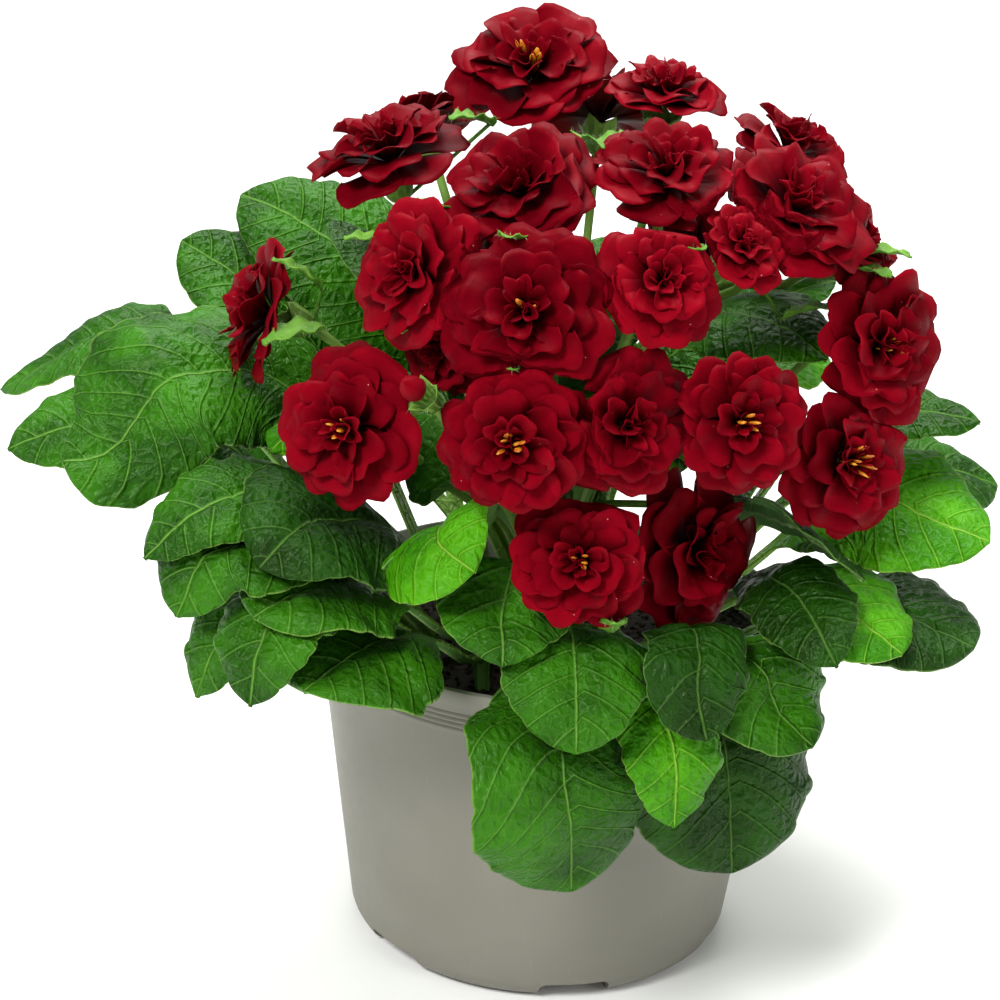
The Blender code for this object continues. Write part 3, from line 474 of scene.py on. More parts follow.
def settle_leaves(leaves: tuple) -> tuple:
    """Lays each leaf clear above the leaves before it, as the solids do.

    Args:
        leaves: The leaves in order, lowest first.

    Returns:
        A nudge for each leaf's midrib, and the samples of all that a stalk must clear.
    """
    others, normals, reaches = rim_samples()
    nudges = []
    count = len(SAMPLE_V)
    for leaf in leaves:
        nudge = np.zeros((len(RIB), 3))
        extra = np.where(SAMPLE_T < 1 - leaf.blade, STALK_EXTRA_GAP, 0.0)
        gap = np.repeat(LEAF_GAP + extra, count)
        for _ in range(SETTLE_ROUNDS):
            points, _ = leaf_sheet(leaf, nudge, SAMPLE_T, SAMPLE_V)
            flat = points.reshape(-1, 3)
            push = clear_of_samples(flat, others, normals, reaches, gap)
            push += clear_of_blooms(flat, BLOOM_CLEARANCE)
            push = push.reshape(len(SAMPLE_T), count, 3)
            size = np.linalg.norm(push, axis=2)
            widest = push[np.arange(len(SAMPLE_T)), size.argmax(axis=1)]
            if size.max() < 0.05:
                break
            step = np.stack([np.interp(RIB, SAMPLE_T, widest[:, i]) for i in range(3)], axis=1)
            step = smooth(step) * np.clip(RIB / 0.25, 0, 1)[:, None]
            nudge = nudge + 0.8 * step
        points, sheet_normals = leaf_sheet(leaf, nudge, SAMPLE_T, SAMPLE_V)
        others = np.vstack([others, points.reshape(-1, 3)])
        normals = np.vstack([normals, sheet_normals.reshape(-1, 3)])
        reaches = np.append(reaches, np.full(flat.shape[0], SETTLE_REACH))
        nudges.append(nudge)
    return nudges, (others, normals, reaches)


def hub_points(heads: tuple) -> list:
    """Returns where each stalk leaves the hub: a sunflower spread matched by bearing."""
    total = len(heads)
    spots = [
        outward(GOLDEN_ANGLE * k) * (HUB_RADIUS - 1.8) * math.sqrt((k + 0.5) / total)
        for k in range(total)
    ]
    chosen = {}
    for head in sorted(heads, key=lambda head: -math.hypot(*head.place[:2])):
        level = np.array([*head.place[:2], 0.0])
        best = max(range(len(spots)), key=lambda k: spots[k] @ level)
        chosen[head] = spots.pop(best)
    return [chosen[head] for head in heads]


def stalk_curve(head: Bloom | Bud, start: Array, samples: tuple) -> Array:
    """Bends a flower stalk from the hub to its calyx, clear of the leaves.

    Args:
        head: The bloom or bud that it carries.
        start: Where it leaves the hub, from the pot's axis.
        samples: Points, normals and reaches of the leaves.

    Returns:
        Seventeen points along the stalk.
    """
    face = direction(*head.face)
    depth = BLOOM_DEPTH if isinstance(head, Bloom) else 0.0
    first = start + UP * (SOIL_LEVEL + HUB_HEIGHT - 2.5)
    last = np.array(head.place) - face * (depth + SEAT_GAP + CALYX_LENGTH)
    span = np.linalg.norm(last - first)
    lean = unit(UP * 2.4 + unit(last - first))
    arrive = unit(face + 0.5 * UP)
    t = np.linspace(0, 1, 17)
    line = bezier((first, first + 0.4 * span * lean, last - 0.34 * span * arrive, last), t)
    fade = np.clip(np.minimum(t / 0.2, (1 - t) / 0.15), 0, 1)[:, None]
    gap = np.full(len(t), STALK_GAP)
    for _ in range(SETTLE_ROUNDS):
        push = clear_of_samples(line, *samples, gap)
        push += clear_of_blooms(line, STALK_BLOOM_GAP, head)
        line = line + 0.8 * smooth(push) * fade
    return line


def bloom_axes(bloom: Bloom) -> tuple:
    """Returns a bloom's centre, facing direction and two directions in its plane."""
    face = direction(*bloom.face)
    first = unit(np.cross(UP, face) if abs(face[2]) < 0.999 else np.array([1.0, 0.0, 0.0]))
    second = np.cross(face, first)
    spin = math.radians(bloom.spin)
    first, second = (
        first * math.cos(spin) + second * math.sin(spin),
        second * math.cos(spin) - first * math.sin(spin),
    )
    return np.array(bloom.place, float), face, first, second


def bloom_planes(bloom: Bloom) -> list:
    """Returns planes that part a bloom from its neighbours, as unit normals and offsets."""
    planes = []
    here, face = np.array(bloom.place, float), direction(*bloom.face)
    for other in BLOOMS:
        if other is bloom:
            continue
        there = np.array(other.place, float)
        gap = np.linalg.norm(here - there)
        reach = 0.5 * (bloom.diameter + other.diameter)
        if gap > reach + 6 or other.node == bloom.node:
            continue
        toward = (here - there) / gap
        split = there + (here - there) * (0.5 * other.diameter / reach)
        mean = unit(face + direction(*other.face))
        mean = mean - toward * (mean @ toward)
        if bloom.layer != other.layer and np.linalg.norm(mean) > 0.2:
            over = 1 if bloom.layer > other.layer else -1
            tilt = math.radians(OVERLAP_TILT) * over
            toward = toward * math.cos(tilt) + unit(mean) * math.sin(tilt)
        planes.append((toward, toward @ split + BLOOM_GAP / 2))
    return planes


class Shell:
    """Collects points, faces, face slots and point values of one piece, in millimetres."""

    def __init__(self, *layers: str) -> None:
        """Starts an empty shell with the named point values."""
        self.points: list = []
        self.faces: list = []
        self.slots: list = []
        self.values: dict = {name: [] for name in layers}
        self.count = 0

    def add(self, points: Array, faces: Array, slot: int | Array = 0, **values: Array) -> None:
        """Adds one part of the piece.

        Args:
            points: Its points.
            faces: Its triangles or quads, counted from its own first point.
            slot: The material slot, one for all faces or one for each.
            values: A number for each point, under each layer's name.
        """
        self.points.append(np.asarray(points, float))
        self.faces.extend([tuple(int(i) + self.count for i in face) for face in faces])
        self.slots.extend(np.broadcast_to(slot, len(faces)).tolist())
        for name, store in self.values.items():
            store.append(np.broadcast_to(values.get(name, 0.0), len(points)).astype(float))
        self.count += len(points)

    def build(self, name: str, materials: tuple) -> bpy.types.Object:
        """Makes the object.

        Args:
            name: The piece's name.
            materials: Its materials in slot order.

        Returns:
            The finished object, at the origin.
        """
        mesh = bpy.data.meshes.new(name)
        mesh.from_pydata((np.vstack(self.points) * MM).tolist(), [], self.faces)
        for material in materials:
            mesh.materials.append(material)
        mesh.polygons.foreach_set("material_index", self.slots)
        mesh.polygons.foreach_set("use_smooth", [True] * len(mesh.polygons))
        for layer, parts in self.values.items():
            attribute = mesh.attributes.new(layer, "FLOAT", "POINT")
            attribute.data.foreach_set("value", np.concatenate(parts).astype(np.float32))
        mesh.update()
        obj = bpy.data.objects.new(name, mesh)
        bpy.context.scene.collection.objects.link(obj)
        return obj


def grid_faces(rows: int, columns: int, start: int = 0, flip: bool = False) -> Array:
    """Returns the quads of a grid of points laid row by row."""
    k = np.arange(rows - 1)[:, None] * columns + np.arange(columns - 1)[None, :] + start
    quads = np.stack([k, k + 1, k + columns + 1, k + columns], axis=-1).reshape(-1, 4)
    return quads[:, ::-1] if flip else quads


def sheet_solid(top: Array, under: Array) -> tuple:
    """Closes a thin sheet.

    Args:
        top: Grid of points of its top face, whose quads wind with the normal up.
        under: The same grid for its under face.

    Returns:
        Points, quads and, for each quad, 0 on top, 1 under and 2 on the edge.
    """
    rows, columns = top.shape[:2]
    size = rows * columns
    points = np.vstack([top.reshape(-1, 3), under.reshape(-1, 3)])
    ring = np.concatenate([
        np.arange(columns),
        np.arange(1, rows) * columns + columns - 1,
        (rows - 1) * columns + np.arange(columns - 2, -1, -1),
        np.arange(rows - 2, 0, -1) * columns,
    ])
    after = np.roll(ring, -1)
    edge = np.stack([ring, ring + size, after + size, after], axis=1)
    faces = np.vstack([grid_faces(rows, columns), grid_faces(rows, columns, size, True), edge])
    inner = len(grid_faces(rows, columns))
    sides = np.concatenate([np.zeros(inner), np.ones(inner), np.full(len(edge), 2)])
    return points, faces, sides.astype(int)


def tube_solid(line: Array, radii: Array, sides: int, squash: float = 1.0) -> tuple:
    """Makes a closed tube.

    Args:
        line: Points of its centre line.
        radii: Its radius at each point.
        sides: How many sides it has.
        squash: Its thickness over its width.

    Returns:
        Points and faces, with a cap of triangles on each end, and the frame at its end.
    """
    along = np.gradient(line, axis=0)
    along /= np.linalg.norm(along, axis=1, keepdims=True)
    side = unit(np.cross(along[0], np.array([0.31, 0.92, 0.22])))
    angles = np.arange(sides) * 2 * math.pi / sides
    rings = []
    for tangent, point, radius in zip(along, line, radii):
        side = unit(side - tangent * (side @ tangent))
        other = np.cross(tangent, side)
        rings.append(
            point + radius * (np.outer(np.cos(angles), side)
                              + squash * np.outer(np.sin(angles), other))
        )
    points = np.vstack([*rings, line[:1], line[-1:]])
    faces = []
    for k in range(len(line) - 1):
        for i in range(sides):
            j = (i + 1) % sides
            a, b = k * sides, (k + 1) * sides
            faces.append((a + i, a + j, b + j, b + i))
    low, high = len(points) - 2, len(points) - 1
    last = (len(line) - 1) * sides
    for i in range(sides):
        j = (i + 1) % sides
        faces.append((low, j, i))
        faces.append((high, last + i, last + j))
    return points, faces, (side, np.cross(along[-1], side))


def linear(code: str) -> tuple:
    """Returns the linear colour of an sRGB hex code."""
    channels = [int(code[i : i + 2], 16) / 255 for i in (1, 3, 5)]
    straight = [c / 12.92 if c <= 0.04045 else ((c + 0.055) / 1.055) ** 2.4 for c in channels]
    return (*straight, 1.0)


class Graph:
    """A material's node tree, built node by node."""

    def __init__(self, name: str) -> None:
        """Starts a material with a Principled shader."""
        self.material = bpy.data.materials.new(name)
        self.material.use_nodes = True
        self.tree = self.material.node_tree
        self.shader = self.tree.nodes["Principled BSDF"]

    def add(self, kind: str, inputs: dict | None = None, **settings: object) -> bpy.types.Node:
        """Adds a node.

        Args:
            kind: The node's type.
            inputs: Values or sockets for its inputs, by name or index.
            settings: Its own properties.

        Returns:
            The node.
        """
        node = self.tree.nodes.new(kind)
        for key, value in settings.items():
            setattr(node, key, value)
        for key, value in (inputs or {}).items():
            if isinstance(value, bpy.types.NodeSocket):
                self.tree.links.new(value, node.inputs[key])
            else:
                node.inputs[key].default_value = value
        return node

    def value(self, layer: str) -> bpy.types.NodeSocket:
        """Returns the socket of one of the piece's point values."""
        node = self.add("ShaderNodeAttribute", attribute_type="GEOMETRY", attribute_name=layer)
        return node.outputs["Fac"]

    def math(self, operation: str, a: object, b: object = 0.0) -> bpy.types.NodeSocket:
        """Returns the result of a math operation on two numbers or sockets."""
        return self.add("ShaderNodeMath", {0: a, 1: b}, operation=operation).outputs[0]

    def ramp(self, x: object, low: float, high: float, start: float = 0.0,
             end: float = 1.0) -> bpy.types.NodeSocket:
        """Returns x eased from start at low to end at high."""
        node = self.add(
            "ShaderNodeMapRange",
            {"Value": x, "From Min": low, "From Max": high, "To Min": start, "To Max": end},
            interpolation_type="SMOOTHSTEP",
        )
        return node.outputs["Result"]

    def mix(self, share: object, a: object, b: object) -> bpy.types.NodeSocket:
        """Returns a colour mixed from a to b, each a hex code or a socket."""
        a = linear(a) if isinstance(a, str) else a
        b = linear(b) if isinstance(b, str) else b
        node = self.add("ShaderNodeMix", data_type="RGBA")
        for index, value in ((0, share), (6, a), (7, b)):
            if isinstance(value, bpy.types.NodeSocket):
                self.tree.links.new(value, node.inputs[index])
            else:
                node.inputs[index].default_value = value
        return node.outputs[2]

    def noise(self, size_mm: float, detail: float = 3.0,
              vector: bpy.types.NodeSocket | None = None) -> bpy.types.NodeSocket:
        """Returns smooth noise whose blotches are about size_mm across."""
        vector = vector or self.place()
        scale = 1 / (size_mm * MM)
        node = self.add("ShaderNodeTexNoise", {"Vector": vector, "Scale": scale,
                                               "Detail": detail})
        return node.outputs["Fac"]

    def place(self) -> bpy.types.NodeSocket:
        """Returns the point's Object coordinates."""
        return self.add("ShaderNodeTexCoord").outputs["Object"]

    def bump(self, height: bpy.types.NodeSocket, depth_mm: float, strength: float = 1.0) -> None:
        """Bumps the shader by a height of 0 to 1 that stands depth_mm."""
        node = self.add("ShaderNodeBump", {"Height": height, "Distance": depth_mm * MM,
                                           "Strength": strength})
        self.tree.links.new(node.outputs["Normal"], self.shader.inputs["Normal"])

    def finish(self, colour: object, roughness: object, **constants: float) -> bpy.types.Material:
        """Sets the shader's colour, roughness and constant sockets.

        Args:
            colour: A hex code or a socket.
            roughness: A number or a socket.
            constants: Other sockets, with spaces in their names written as underscores.

        Returns:
            The material.
        """
        pairs = {"Base Color": linear(colour) if isinstance(colour, str) else colour,
                 "Roughness": roughness}
        pairs.update({key.replace("_", " "): value for key, value in constants.items()})
        for key, value in pairs.items():
            if isinstance(value, bpy.types.NodeSocket):
                self.tree.links.new(value, self.shader.inputs[key])
            else:
                self.shader.inputs[key].default_value = value
        return self.material


@dataclass(frozen=True)
class LeafTissue:
    """Living leaf: waxy green skin, quilted between a net of paler, sunken veins."""

    name: str
    dark: str
    light: str
    vein: str
    rim: str
    pitch_mm: float = 7.4
    cell_mm: float = 2.9
    fine_mm: float = 1.1
    roughness: float = 0.40

    def make(self) -> bpy.types.Material:
        """Returns the material of the upper side."""
        g = Graph(self.name)
        lateral = g.math("ABSOLUTE", g.value("lateral_mm"))
        edge = g.value("edge")
        rib = g.ramp(lateral, 0.1, 0.6, 1.0, 0.0)
        gap = g.math("MULTIPLY", g.math("PINGPONG", g.value("vein_phase"), 0.5), self.pitch_mm)
        side = g.ramp(gap, 0.03, 0.32, 1.0, 0.0)
        spot = g.add("ShaderNodeCombineXYZ", {"X": g.value("along_mm"),
                                              "Y": g.value("lateral_mm"),
                                              "Z": g.value("seed")}).outputs[0]
        net = self.cells(g, spot, self.cell_mm)
        fine = self.cells(g, spot, self.fine_mm)
        patch = g.ramp(g.noise(16.0, 2.0), 0.3, 0.7)
        colour = g.mix(patch, self.dark, self.light)
        # Painted shade: the cell crowns are painted lighter, so the sunken net between the puffed
        # cells stays darker.
        crown = g.math("MULTIPLY", g.ramp(net, 0.05, 0.35), 0.30)
        colour = g.mix(crown, colour, self.light)
        veins = g.math("MAXIMUM", g.math("MULTIPLY", side, 0.50),
                       g.math("MULTIPLY", g.ramp(net, 0.0, 0.05, 1.0, 0.0), 0.14))
        veins = g.math("MAXIMUM", veins, g.math("MULTIPLY", rib, 0.85))
        colour = g.mix(veins, colour, self.vein)
        colour = g.mix(g.ramp(edge, 0.972, 1.0, 0.0, 0.6), colour, self.rim)
        colour = g.mix(g.math("MULTIPLY", g.value("stalk"), 0.8), colour, self.rim)
        puff = g.math("MULTIPLY", g.ramp(net, 0.0, 0.5), 0.85)
        puff = g.math("ADD", puff, g.math("MULTIPLY", g.ramp(fine, 0.0, 0.5), 0.22))
        sunk = g.math("MAXIMUM", g.math("MULTIPLY", g.ramp(gap, 0.0, 0.9, 1.0, 0.0), 0.7), rib)
        g.bump(g.math("SUBTRACT", puff, sunk), 0.8, 0.85)
        rough = g.math("ADD", self.roughness, g.math("MULTIPLY", veins, 0.2))
        return g.finish(colour, rough, IOR=1.42, Specular_IOR_Level=0.24,
                        Specular_Tint=linear("#DCFFC8"))

    @staticmethod
    def cells(g: Graph, spot: bpy.types.NodeSocket, size_mm: float) -> bpy.types.NodeSocket:
        """Returns the distance from a net of irregular cells of a size."""
        node = g.add("ShaderNodeTexVoronoi", {"Vector": spot, "Scale": 1 / size_mm},
                     feature="DISTANCE_TO_EDGE")
        return node.outputs["Distance"]


@dataclass(frozen=True)
class LeafUnderside:
    """The leaf's lower skin: paler, downy and matt, with raised veins."""

    name: str
    skin: str
    vein: str
    pitch_mm: float = 7.4

    def make(self) -> bpy.types.Material:
        """Returns the material of the lower side."""
        g = Graph(self.name)
        lateral = g.math("ABSOLUTE", g.value("lateral_mm"))
        gap = g.math("MULTIPLY", g.math("PINGPONG", g.value("vein_phase"), 0.5), self.pitch_mm)
        rib = g.ramp(lateral, 0.4, 1.1, 1.0, 0.0)
        side = g.ramp(gap, 0.1, 0.45, 1.0, 0.0)
        veins = g.math("MAXIMUM", rib, g.math("MULTIPLY", side, 0.8))
        patch = g.math("MULTIPLY", g.noise(5.0), 0.3)
        colour = g.mix(g.math("MAXIMUM", veins, patch), self.skin, self.vein)
        g.bump(veins, 0.5, 0.8)
        return g.finish(colour, 0.66, IOR=1.4, Specular_IOR_Level=0.25)


@dataclass(frozen=True)
class PetalVelvet:
    """Double-primrose petal: thin, velvety crimson, painted with shade that makes it nearly black
    toward its base and with light that makes it brightest toward its rim, and with fine pale specks
    of pollen and dew."""

    name: str
    # deep is a painted shade colour, full the petal's own red and lit a painted light colour.
    deep: str = "#120002"
    full: str = "#4A0007"
    lit: str = "#860617"

    def make(self) -> bpy.types.Material:
        """Returns the material."""
        g = Graph(self.name)
        reach, shade, bright = g.value("reach"), g.value("shade"), g.value("bright")
        # Painted shade: the petal darkens from its own red to near black toward its base, deep in
        # the bloom.
        colour = g.mix(g.ramp(reach, 0.1, 0.75), self.deep, self.full)
        # Painted light: the lit red is mixed in toward the tip, more on blooms with more painted
        # light, varied at random per petal and in blotches.
        tone = g.math("ADD", g.math("MULTIPLY", bright, 0.6), g.math("MULTIPLY", shade, 0.4))
        blotch = g.math("MULTIPLY", g.ramp(g.noise(5.0, 2.0), 0.35, 0.75), 0.3)
        lift = g.math("MULTIPLY", g.math("ADD", tone, blotch), g.ramp(reach, 0.25, 0.9))
        colour = g.mix(g.math("MULTIPLY", lift, 0.8), colour, self.lit)
        specks = g.add("ShaderNodeTexVoronoi", {"Vector": g.place(), "Scale": 1 / (3.4 * MM)})
        grain = g.ramp(specks.outputs["Distance"], 0.03, 0.06, 1.0, 0.0)
        chosen = g.ramp(g.add("ShaderNodeSeparateColor",
                              {"Color": specks.outputs["Color"]}).outputs[0], 0.74, 0.78)
        colour = g.mix(g.math("MULTIPLY", g.math("MULTIPLY", grain, chosen), 0.6),
                       colour, "#E8A8A0")
        g.bump(g.noise(1.6, 2.0), 0.16, 0.5)
        return g.finish(colour, 0.55, IOR=1.4, Specular_IOR_Level=0.22,
                        Specular_Tint=linear("#D01830"), Sheen_Weight=0.06,
                        Sheen_Roughness=0.35, Sheen_Tint=linear("#E0182C"))


@dataclass(frozen=True)
class StalkTissue:
    """Soft downy stem and calyx: pale yellow-green with faint darker ribs."""

    name: str
    pale: str
    deep: str

    def make(self) -> bpy.types.Material:
        """Returns the material."""
        g = Graph(self.name)
        blotch = g.ramp(g.noise(5.0), 0.3, 0.7)
        ribs = g.ramp(g.math("PINGPONG", g.value("across"), 0.5), 0.1, 0.4)
        share = g.math("MAXIMUM", g.math("MULTIPLY", blotch, 0.6), g.math("MULTIPLY", ribs, 0.5))
        colour = g.mix(share, self.deep, self.pale)
        g.bump(g.math("MULTIPLY", ribs, 1.0), 0.3, 0.7)
        return g.finish(colour, 0.58, IOR=1.4, Specular_IOR_Level=0.3)


@dataclass(frozen=True)
class PlainTissue:
    """Small soft plant part of one hue, such as the yellow eye or a hair, mottled a little."""

    name: str
    dark: str
    light: str
    roughness: float = 0.6
    grain_mm: float = 1.2

    def make(self) -> bpy.types.Material:
        """Returns the material."""
        g = Graph(self.name)
        grain = g.noise(self.grain_mm)
        colour = g.mix(g.ramp(grain, 0.3, 0.7), self.dark, self.light)
        g.bump(grain, 0.15, 0.5)
        return g.finish(colour, self.roughness)


@dataclass(frozen=True)
class NurseryPlastic:
    """Thin injection-moulded polypropylene: taupe, satin, with faint scuffs, dust near the
    foot and a very fine moulded grain."""

    name: str = "moulded_polypropylene_taupe"
    base: str = "#79776C"
    deep: str = "#6C6A5E"
    scuff: str = "#88867C"
    dust: str = "#5C5548"

    def make(self) -> bpy.types.Material:
        """Returns the material."""
        g = Graph(self.name)
        place = g.place()
        cloud = g.ramp(g.noise(38.0, 2.0), 0.3, 0.7)
        colour = g.mix(g.math("MULTIPLY", cloud, 0.5), self.base, self.deep)
        stretched = g.add("ShaderNodeMapping", {"Vector": place, "Scale": (1.0, 1.0, 0.12)})
        streak = g.ramp(g.noise(1.1, 4.0, stretched.outputs[0]), 0.66, 0.78)
        colour = g.mix(g.math("MULTIPLY", streak, 0.35), colour, self.scuff)
        level = g.add("ShaderNodeSeparateXYZ", {"Vector": place}).outputs["Z"]
        low = g.math("MULTIPLY", g.ramp(level, 0.0, 14 * MM, 1.0, 0.0), g.noise(6.0))
        colour = g.mix(g.math("MULTIPLY", low, 0.35), colour, self.dust)
        grain = g.noise(0.35, 2.0)
        g.bump(g.math("ADD", grain, g.math("MULTIPLY", streak, -0.5)), 0.05, 0.5)
        rough = g.math("ADD", 0.42, g.math("MULTIPLY", g.noise(3.0), 0.16))
        return g.finish(colour, rough, IOR=1.49)


@dataclass(frozen=True)
class PeatMix:
    """Moist peat growing medium: dark brown fibres and crumbs with a few paler bits."""

    name: str = "moist_peat_mix"

    def make(self) -> bpy.types.Material:
        """Returns the material."""
        g = Graph(self.name)
        crumb = g.noise(2.2, 5.0)
        colour = g.mix(g.ramp(crumb, 0.3, 0.7), "#0E0906", "#2C1E14")
        pale = g.ramp(g.noise(1.1, 2.0), 0.7, 0.76)
        colour = g.mix(g.math("MULTIPLY", pale, 0.6), colour, "#5A4632")
        g.bump(crumb, 1.2, 1.0)
        return g.finish(colour, 0.95)


@dataclass(frozen=True)
class StageCard:
    """Matt white paper sweep under and behind the plant."""

    name: str = "matt_paper_stage"

    def make(self) -> bpy.types.Material:
        """Returns the material."""
        g = Graph(self.name)
        g.bump(g.noise(2.0), 0.02, 0.2)
        return g.finish("#F4F4F2", 0.9)


def leaf_thickness(leaf: Leaf, t: Array, v: Array) -> Array:
    """Returns the thickness under the top face: a keel on the stalk that thins in the blade."""
    blade = np.clip((t - (1 - leaf.blade)) / leaf.blade, 0, 1)[:, None]
    keel = KEEL + (RIB_THICKNESS - KEEL) * np.sqrt(blade)
    beside = KEEL_FLANK * KEEL
    flank = beside + (BLADE_THICKNESS - beside) * np.clip(3 * blade, 0, 1)
    edge = ROOT_EDGE + (BLADE_THICKNESS - ROOT_EDGE) * blade
    away = np.abs(v)[None, :]
    share = smoothstep(0.0, 0.5, away)
    return keel + (flank - keel) * share + (edge - flank) * smoothstep(0.5, 1.0, away)


@dataclass
class Rosette:
    """The leaves: each a closed blade, quilted and toothed, on its winged stalk."""

    rows: int = 88
    stalk_rows: int = 8
    columns: int = 25
    tooth_mm: float = 2.6
    tooth_depth_mm: float = 0.75
    vein_pitch_mm: float = 7.4
    vein_slant: float = 0.5
    vein_bend: float = 0.011
    puff_mm: float = 0.85
    ruffle_mm: float = 0.55
    finishes: dict = field(default_factory=dict)

    def dress(self) -> None:
        """Makes the upper and lower finish of each tone."""
        self.finishes = {
            Tone.YOUNG: (
                LeafTissue("young_leaf_upper", "#286A03", "#4A9408", "#7CB032", "#94BC4C"),
                LeafUnderside("young_leaf_under", "#5E8C3C", "#94B468"),
            ),
            Tone.MIDDLE: (
                LeafTissue("grown_leaf_upper", "#143C02", "#2E6808", "#5E8E34", "#7CA248"),
                LeafUnderside("grown_leaf_under", "#4E7C38", "#86A864"),
            ),
            Tone.OLD: (
                LeafTissue("old_leaf_upper", "#0C2602", "#1A4406", "#466C28", "#688C42"),
                LeafUnderside("old_leaf_under", "#426C34", "#7A9A60"),
            ),
        }
        self.finishes = {
            tone: tuple(finish.make() for finish in pair) for tone, pair in self.finishes.items()
        }

    def add_leaf(self, shell: Shell, leaf: Leaf, nudge: Array, seed: int, slot: int) -> None:
        """Adds one leaf to a piece.

        Args:
            shell: The piece.
            leaf: The leaf.
            nudge: Its midrib's settling moves.
            seed: Its number, which varies its quilting.
            slot: The piece's slot of its upper finish, before its lower one.
        """
        start = 1 - leaf.blade
        x = np.linspace(0, 1, self.rows)
        blade_t = start + leaf.blade * (1 - (1 - x) ** 1.18)
        t = np.concatenate([np.linspace(0.045, start, self.stalk_rows, endpoint=False), blade_t])
        t = np.minimum(t, 0.9995)
        line = np.linspace(-1, 1, self.columns)
        v = 0.72 * line + 0.28 * np.sin(0.5 * math.pi * line)
        place = midrib(leaf, nudge)[0]
        arc = np.concatenate([[0], np.cumsum(np.linalg.norm(np.diff(place, axis=0), axis=1))])
        along = np.interp(t, RIB, arc)
        half = half_width(leaf, t)
        tip = np.clip((t - 0.9) / 0.1, 0, 1)
        lateral = half[:, None] * v[None, :]
        wobble = 0.16 * np.sin(0.21 * along + seed)[:, None]
        away = np.abs(lateral)
        phase = (along[:, None] - self.vein_slant * away - self.vein_bend * away**2)
        phase = phase / self.vein_pitch_mm + 0.37 * (v > 0)[None, :] + wobble + 0.11 * seed
        mask = np.clip((t - start) / (0.3 * leaf.blade), 0, 1)[:, None]
        cell = np.abs(np.sin(math.pi * phase)) ** 0.7 - 0.55
        rumple = 0.7 + 0.3 * np.sin(away * 1.25 + 2.3 * np.floor(phase) + seed)
        puff = self.puff_mm * cell * rumple * mask * (1 - np.abs(v[None, :]) ** 6)
        puff -= 0.55 * np.exp(-((away / 1.2) ** 2)) * mask
        ruffle = self.ruffle_mm * np.sin(0.62 * along[:, None] + 1.7 * np.sign(v) + seed)
        puff = (puff + ruffle * np.abs(v[None, :]) ** 4 * mask) * (1 - 0.7 * tip[:, None])
        tooth = np.abs(np.sin(math.pi * along[:, None] / (2 * self.tooth_mm) + seed)) ** 0.6
        tooth = (tooth - 0.62) * self.tooth_depth_mm * mask / half[:, None]
        widen = 1 + tooth * np.abs(v[None, :]) ** 5
        narrow = np.where(t > 0.9, np.clip(half - STALK_HALF_WIDTH * tip**2, 0.5, None) / half, 1)
        points, normals = leaf_sheet(leaf, nudge, t, v, (widen * narrow[:, None])[..., None])
        thick = leaf_thickness(leaf, t, v)
        rim = 1 - 0.45 * smoothstep(0.8, 1.0, np.abs(v))[None, :] * mask
        top = points + normals * puff[..., None]
        under = top - normals * (thick * rim)[..., None]
        root = self.root_rows(leaf, v)
        top = np.concatenate([root[0], top])
        under = np.concatenate([root[1], under])
        ahead = len(root[0])
        body, faces, sides = sheet_solid(top, under)
        values = {
            "along_mm": np.concatenate([np.full(ahead, along[0]), along])[:, None] + 0 * v,
            "lateral_mm": np.vstack([np.tile(STALK_HALF_WIDTH * v, (ahead, 1)), lateral]),
            "vein_phase": np.vstack([np.tile(phase[:1], (ahead, 1)), phase]),
            "edge": np.tile(np.abs(v), (len(top), 1)),
            "stalk": np.concatenate([np.ones(ahead), 1 - smoothstep(start * 0.7, start + 0.14, t)]
                                    )[:, None] + 0 * v,
            "seed": np.full((len(top), len(v)), 13.7 * seed),
        }
        values = {key: np.tile(grid.ravel(), 2) for key, grid in values.items()}
        shell.add(body, faces, slot + (sides == 1), **values)

    @staticmethod
    def root_rows(leaf: Leaf, v: Array) -> tuple:
        """Returns the top and under rows of the stalk from its root to just out of the soil."""
        heading = 0.5 * (leaf.root[0] + leaf.tip[0])
        side, inward = outward(heading + 90), -outward(heading)
        stem = leaf_thickness(leaf, np.zeros(1), v)[0]
        top, under = [], []
        for height in (-ROOT_DEPTH, -0.5 * ROOT_DEPTH, START_ABOVE_SOIL - 1.0):
            base = leaf_root(leaf) + UP * height
            row = base + np.outer(v, side) * STALK_HALF_WIDTH
            top.append(row)
            under.append(row - inward * stem[:, None])
        return np.array(top), np.array(under)

    def build(self, nudges: list) -> list:
        """Builds every separate leaf.

        Args:
            nudges: The settling moves of each leaf in order.

        Returns:
            Each piece with its node's name.
        """
        by_node: dict = {}
        for seed, (leaf, nudge) in enumerate(zip(LEAVES, nudges)):
            by_node.setdefault(leaf.node, []).append((leaf, nudge, seed))
        pieces = []
        for node, group in by_node.items():
            shell = Shell("along_mm", "lateral_mm", "vein_phase", "edge", "stalk", "seed")
            materials: list = []
            for leaf, nudge, seed in group:
                self.add_leaf(shell, leaf, nudge, seed, len(materials))
                materials.extend(self.finishes[leaf.tone])
            pieces.append((shell.build("primrose_" + node, tuple(materials)), node))
        return pieces


@dataclass(frozen=True)
class Whorl:
    """One ring of petals: how many, their length and root radius as shares of the bloom's
    radius, the height of their roots, the angles at which they rise and end, their half
    angle, notch and ruffle."""

    count: int
    length: float
    root: float
    height: float
    rise: float
    end: float
    spread: float
    notch: float
    ruffle: float


WHORLS = (
    Whorl(6, 1.00, 0.04, -4.6, 24, -16, 38, 0.09, 0.045),
    Whorl(6, 0.91, 0.04, -3.9, 36, -10, 38, 0.10, 0.055),
    Whorl(5, 0.79, 0.04, -3.2, 50, -2, 44, 0.11, 0.070),
    Whorl(5, 0.64, 0.03, -2.6, 62, 14, 46, 0.11, 0.075),
    Whorl(4, 0.49, 0.03, -2.0, 74, 36, 54, 0.10, 0.075),
    Whorl(3, 0.34, 0.02, -1.5, 84, 58, 64, 0.08, 0.060),
)


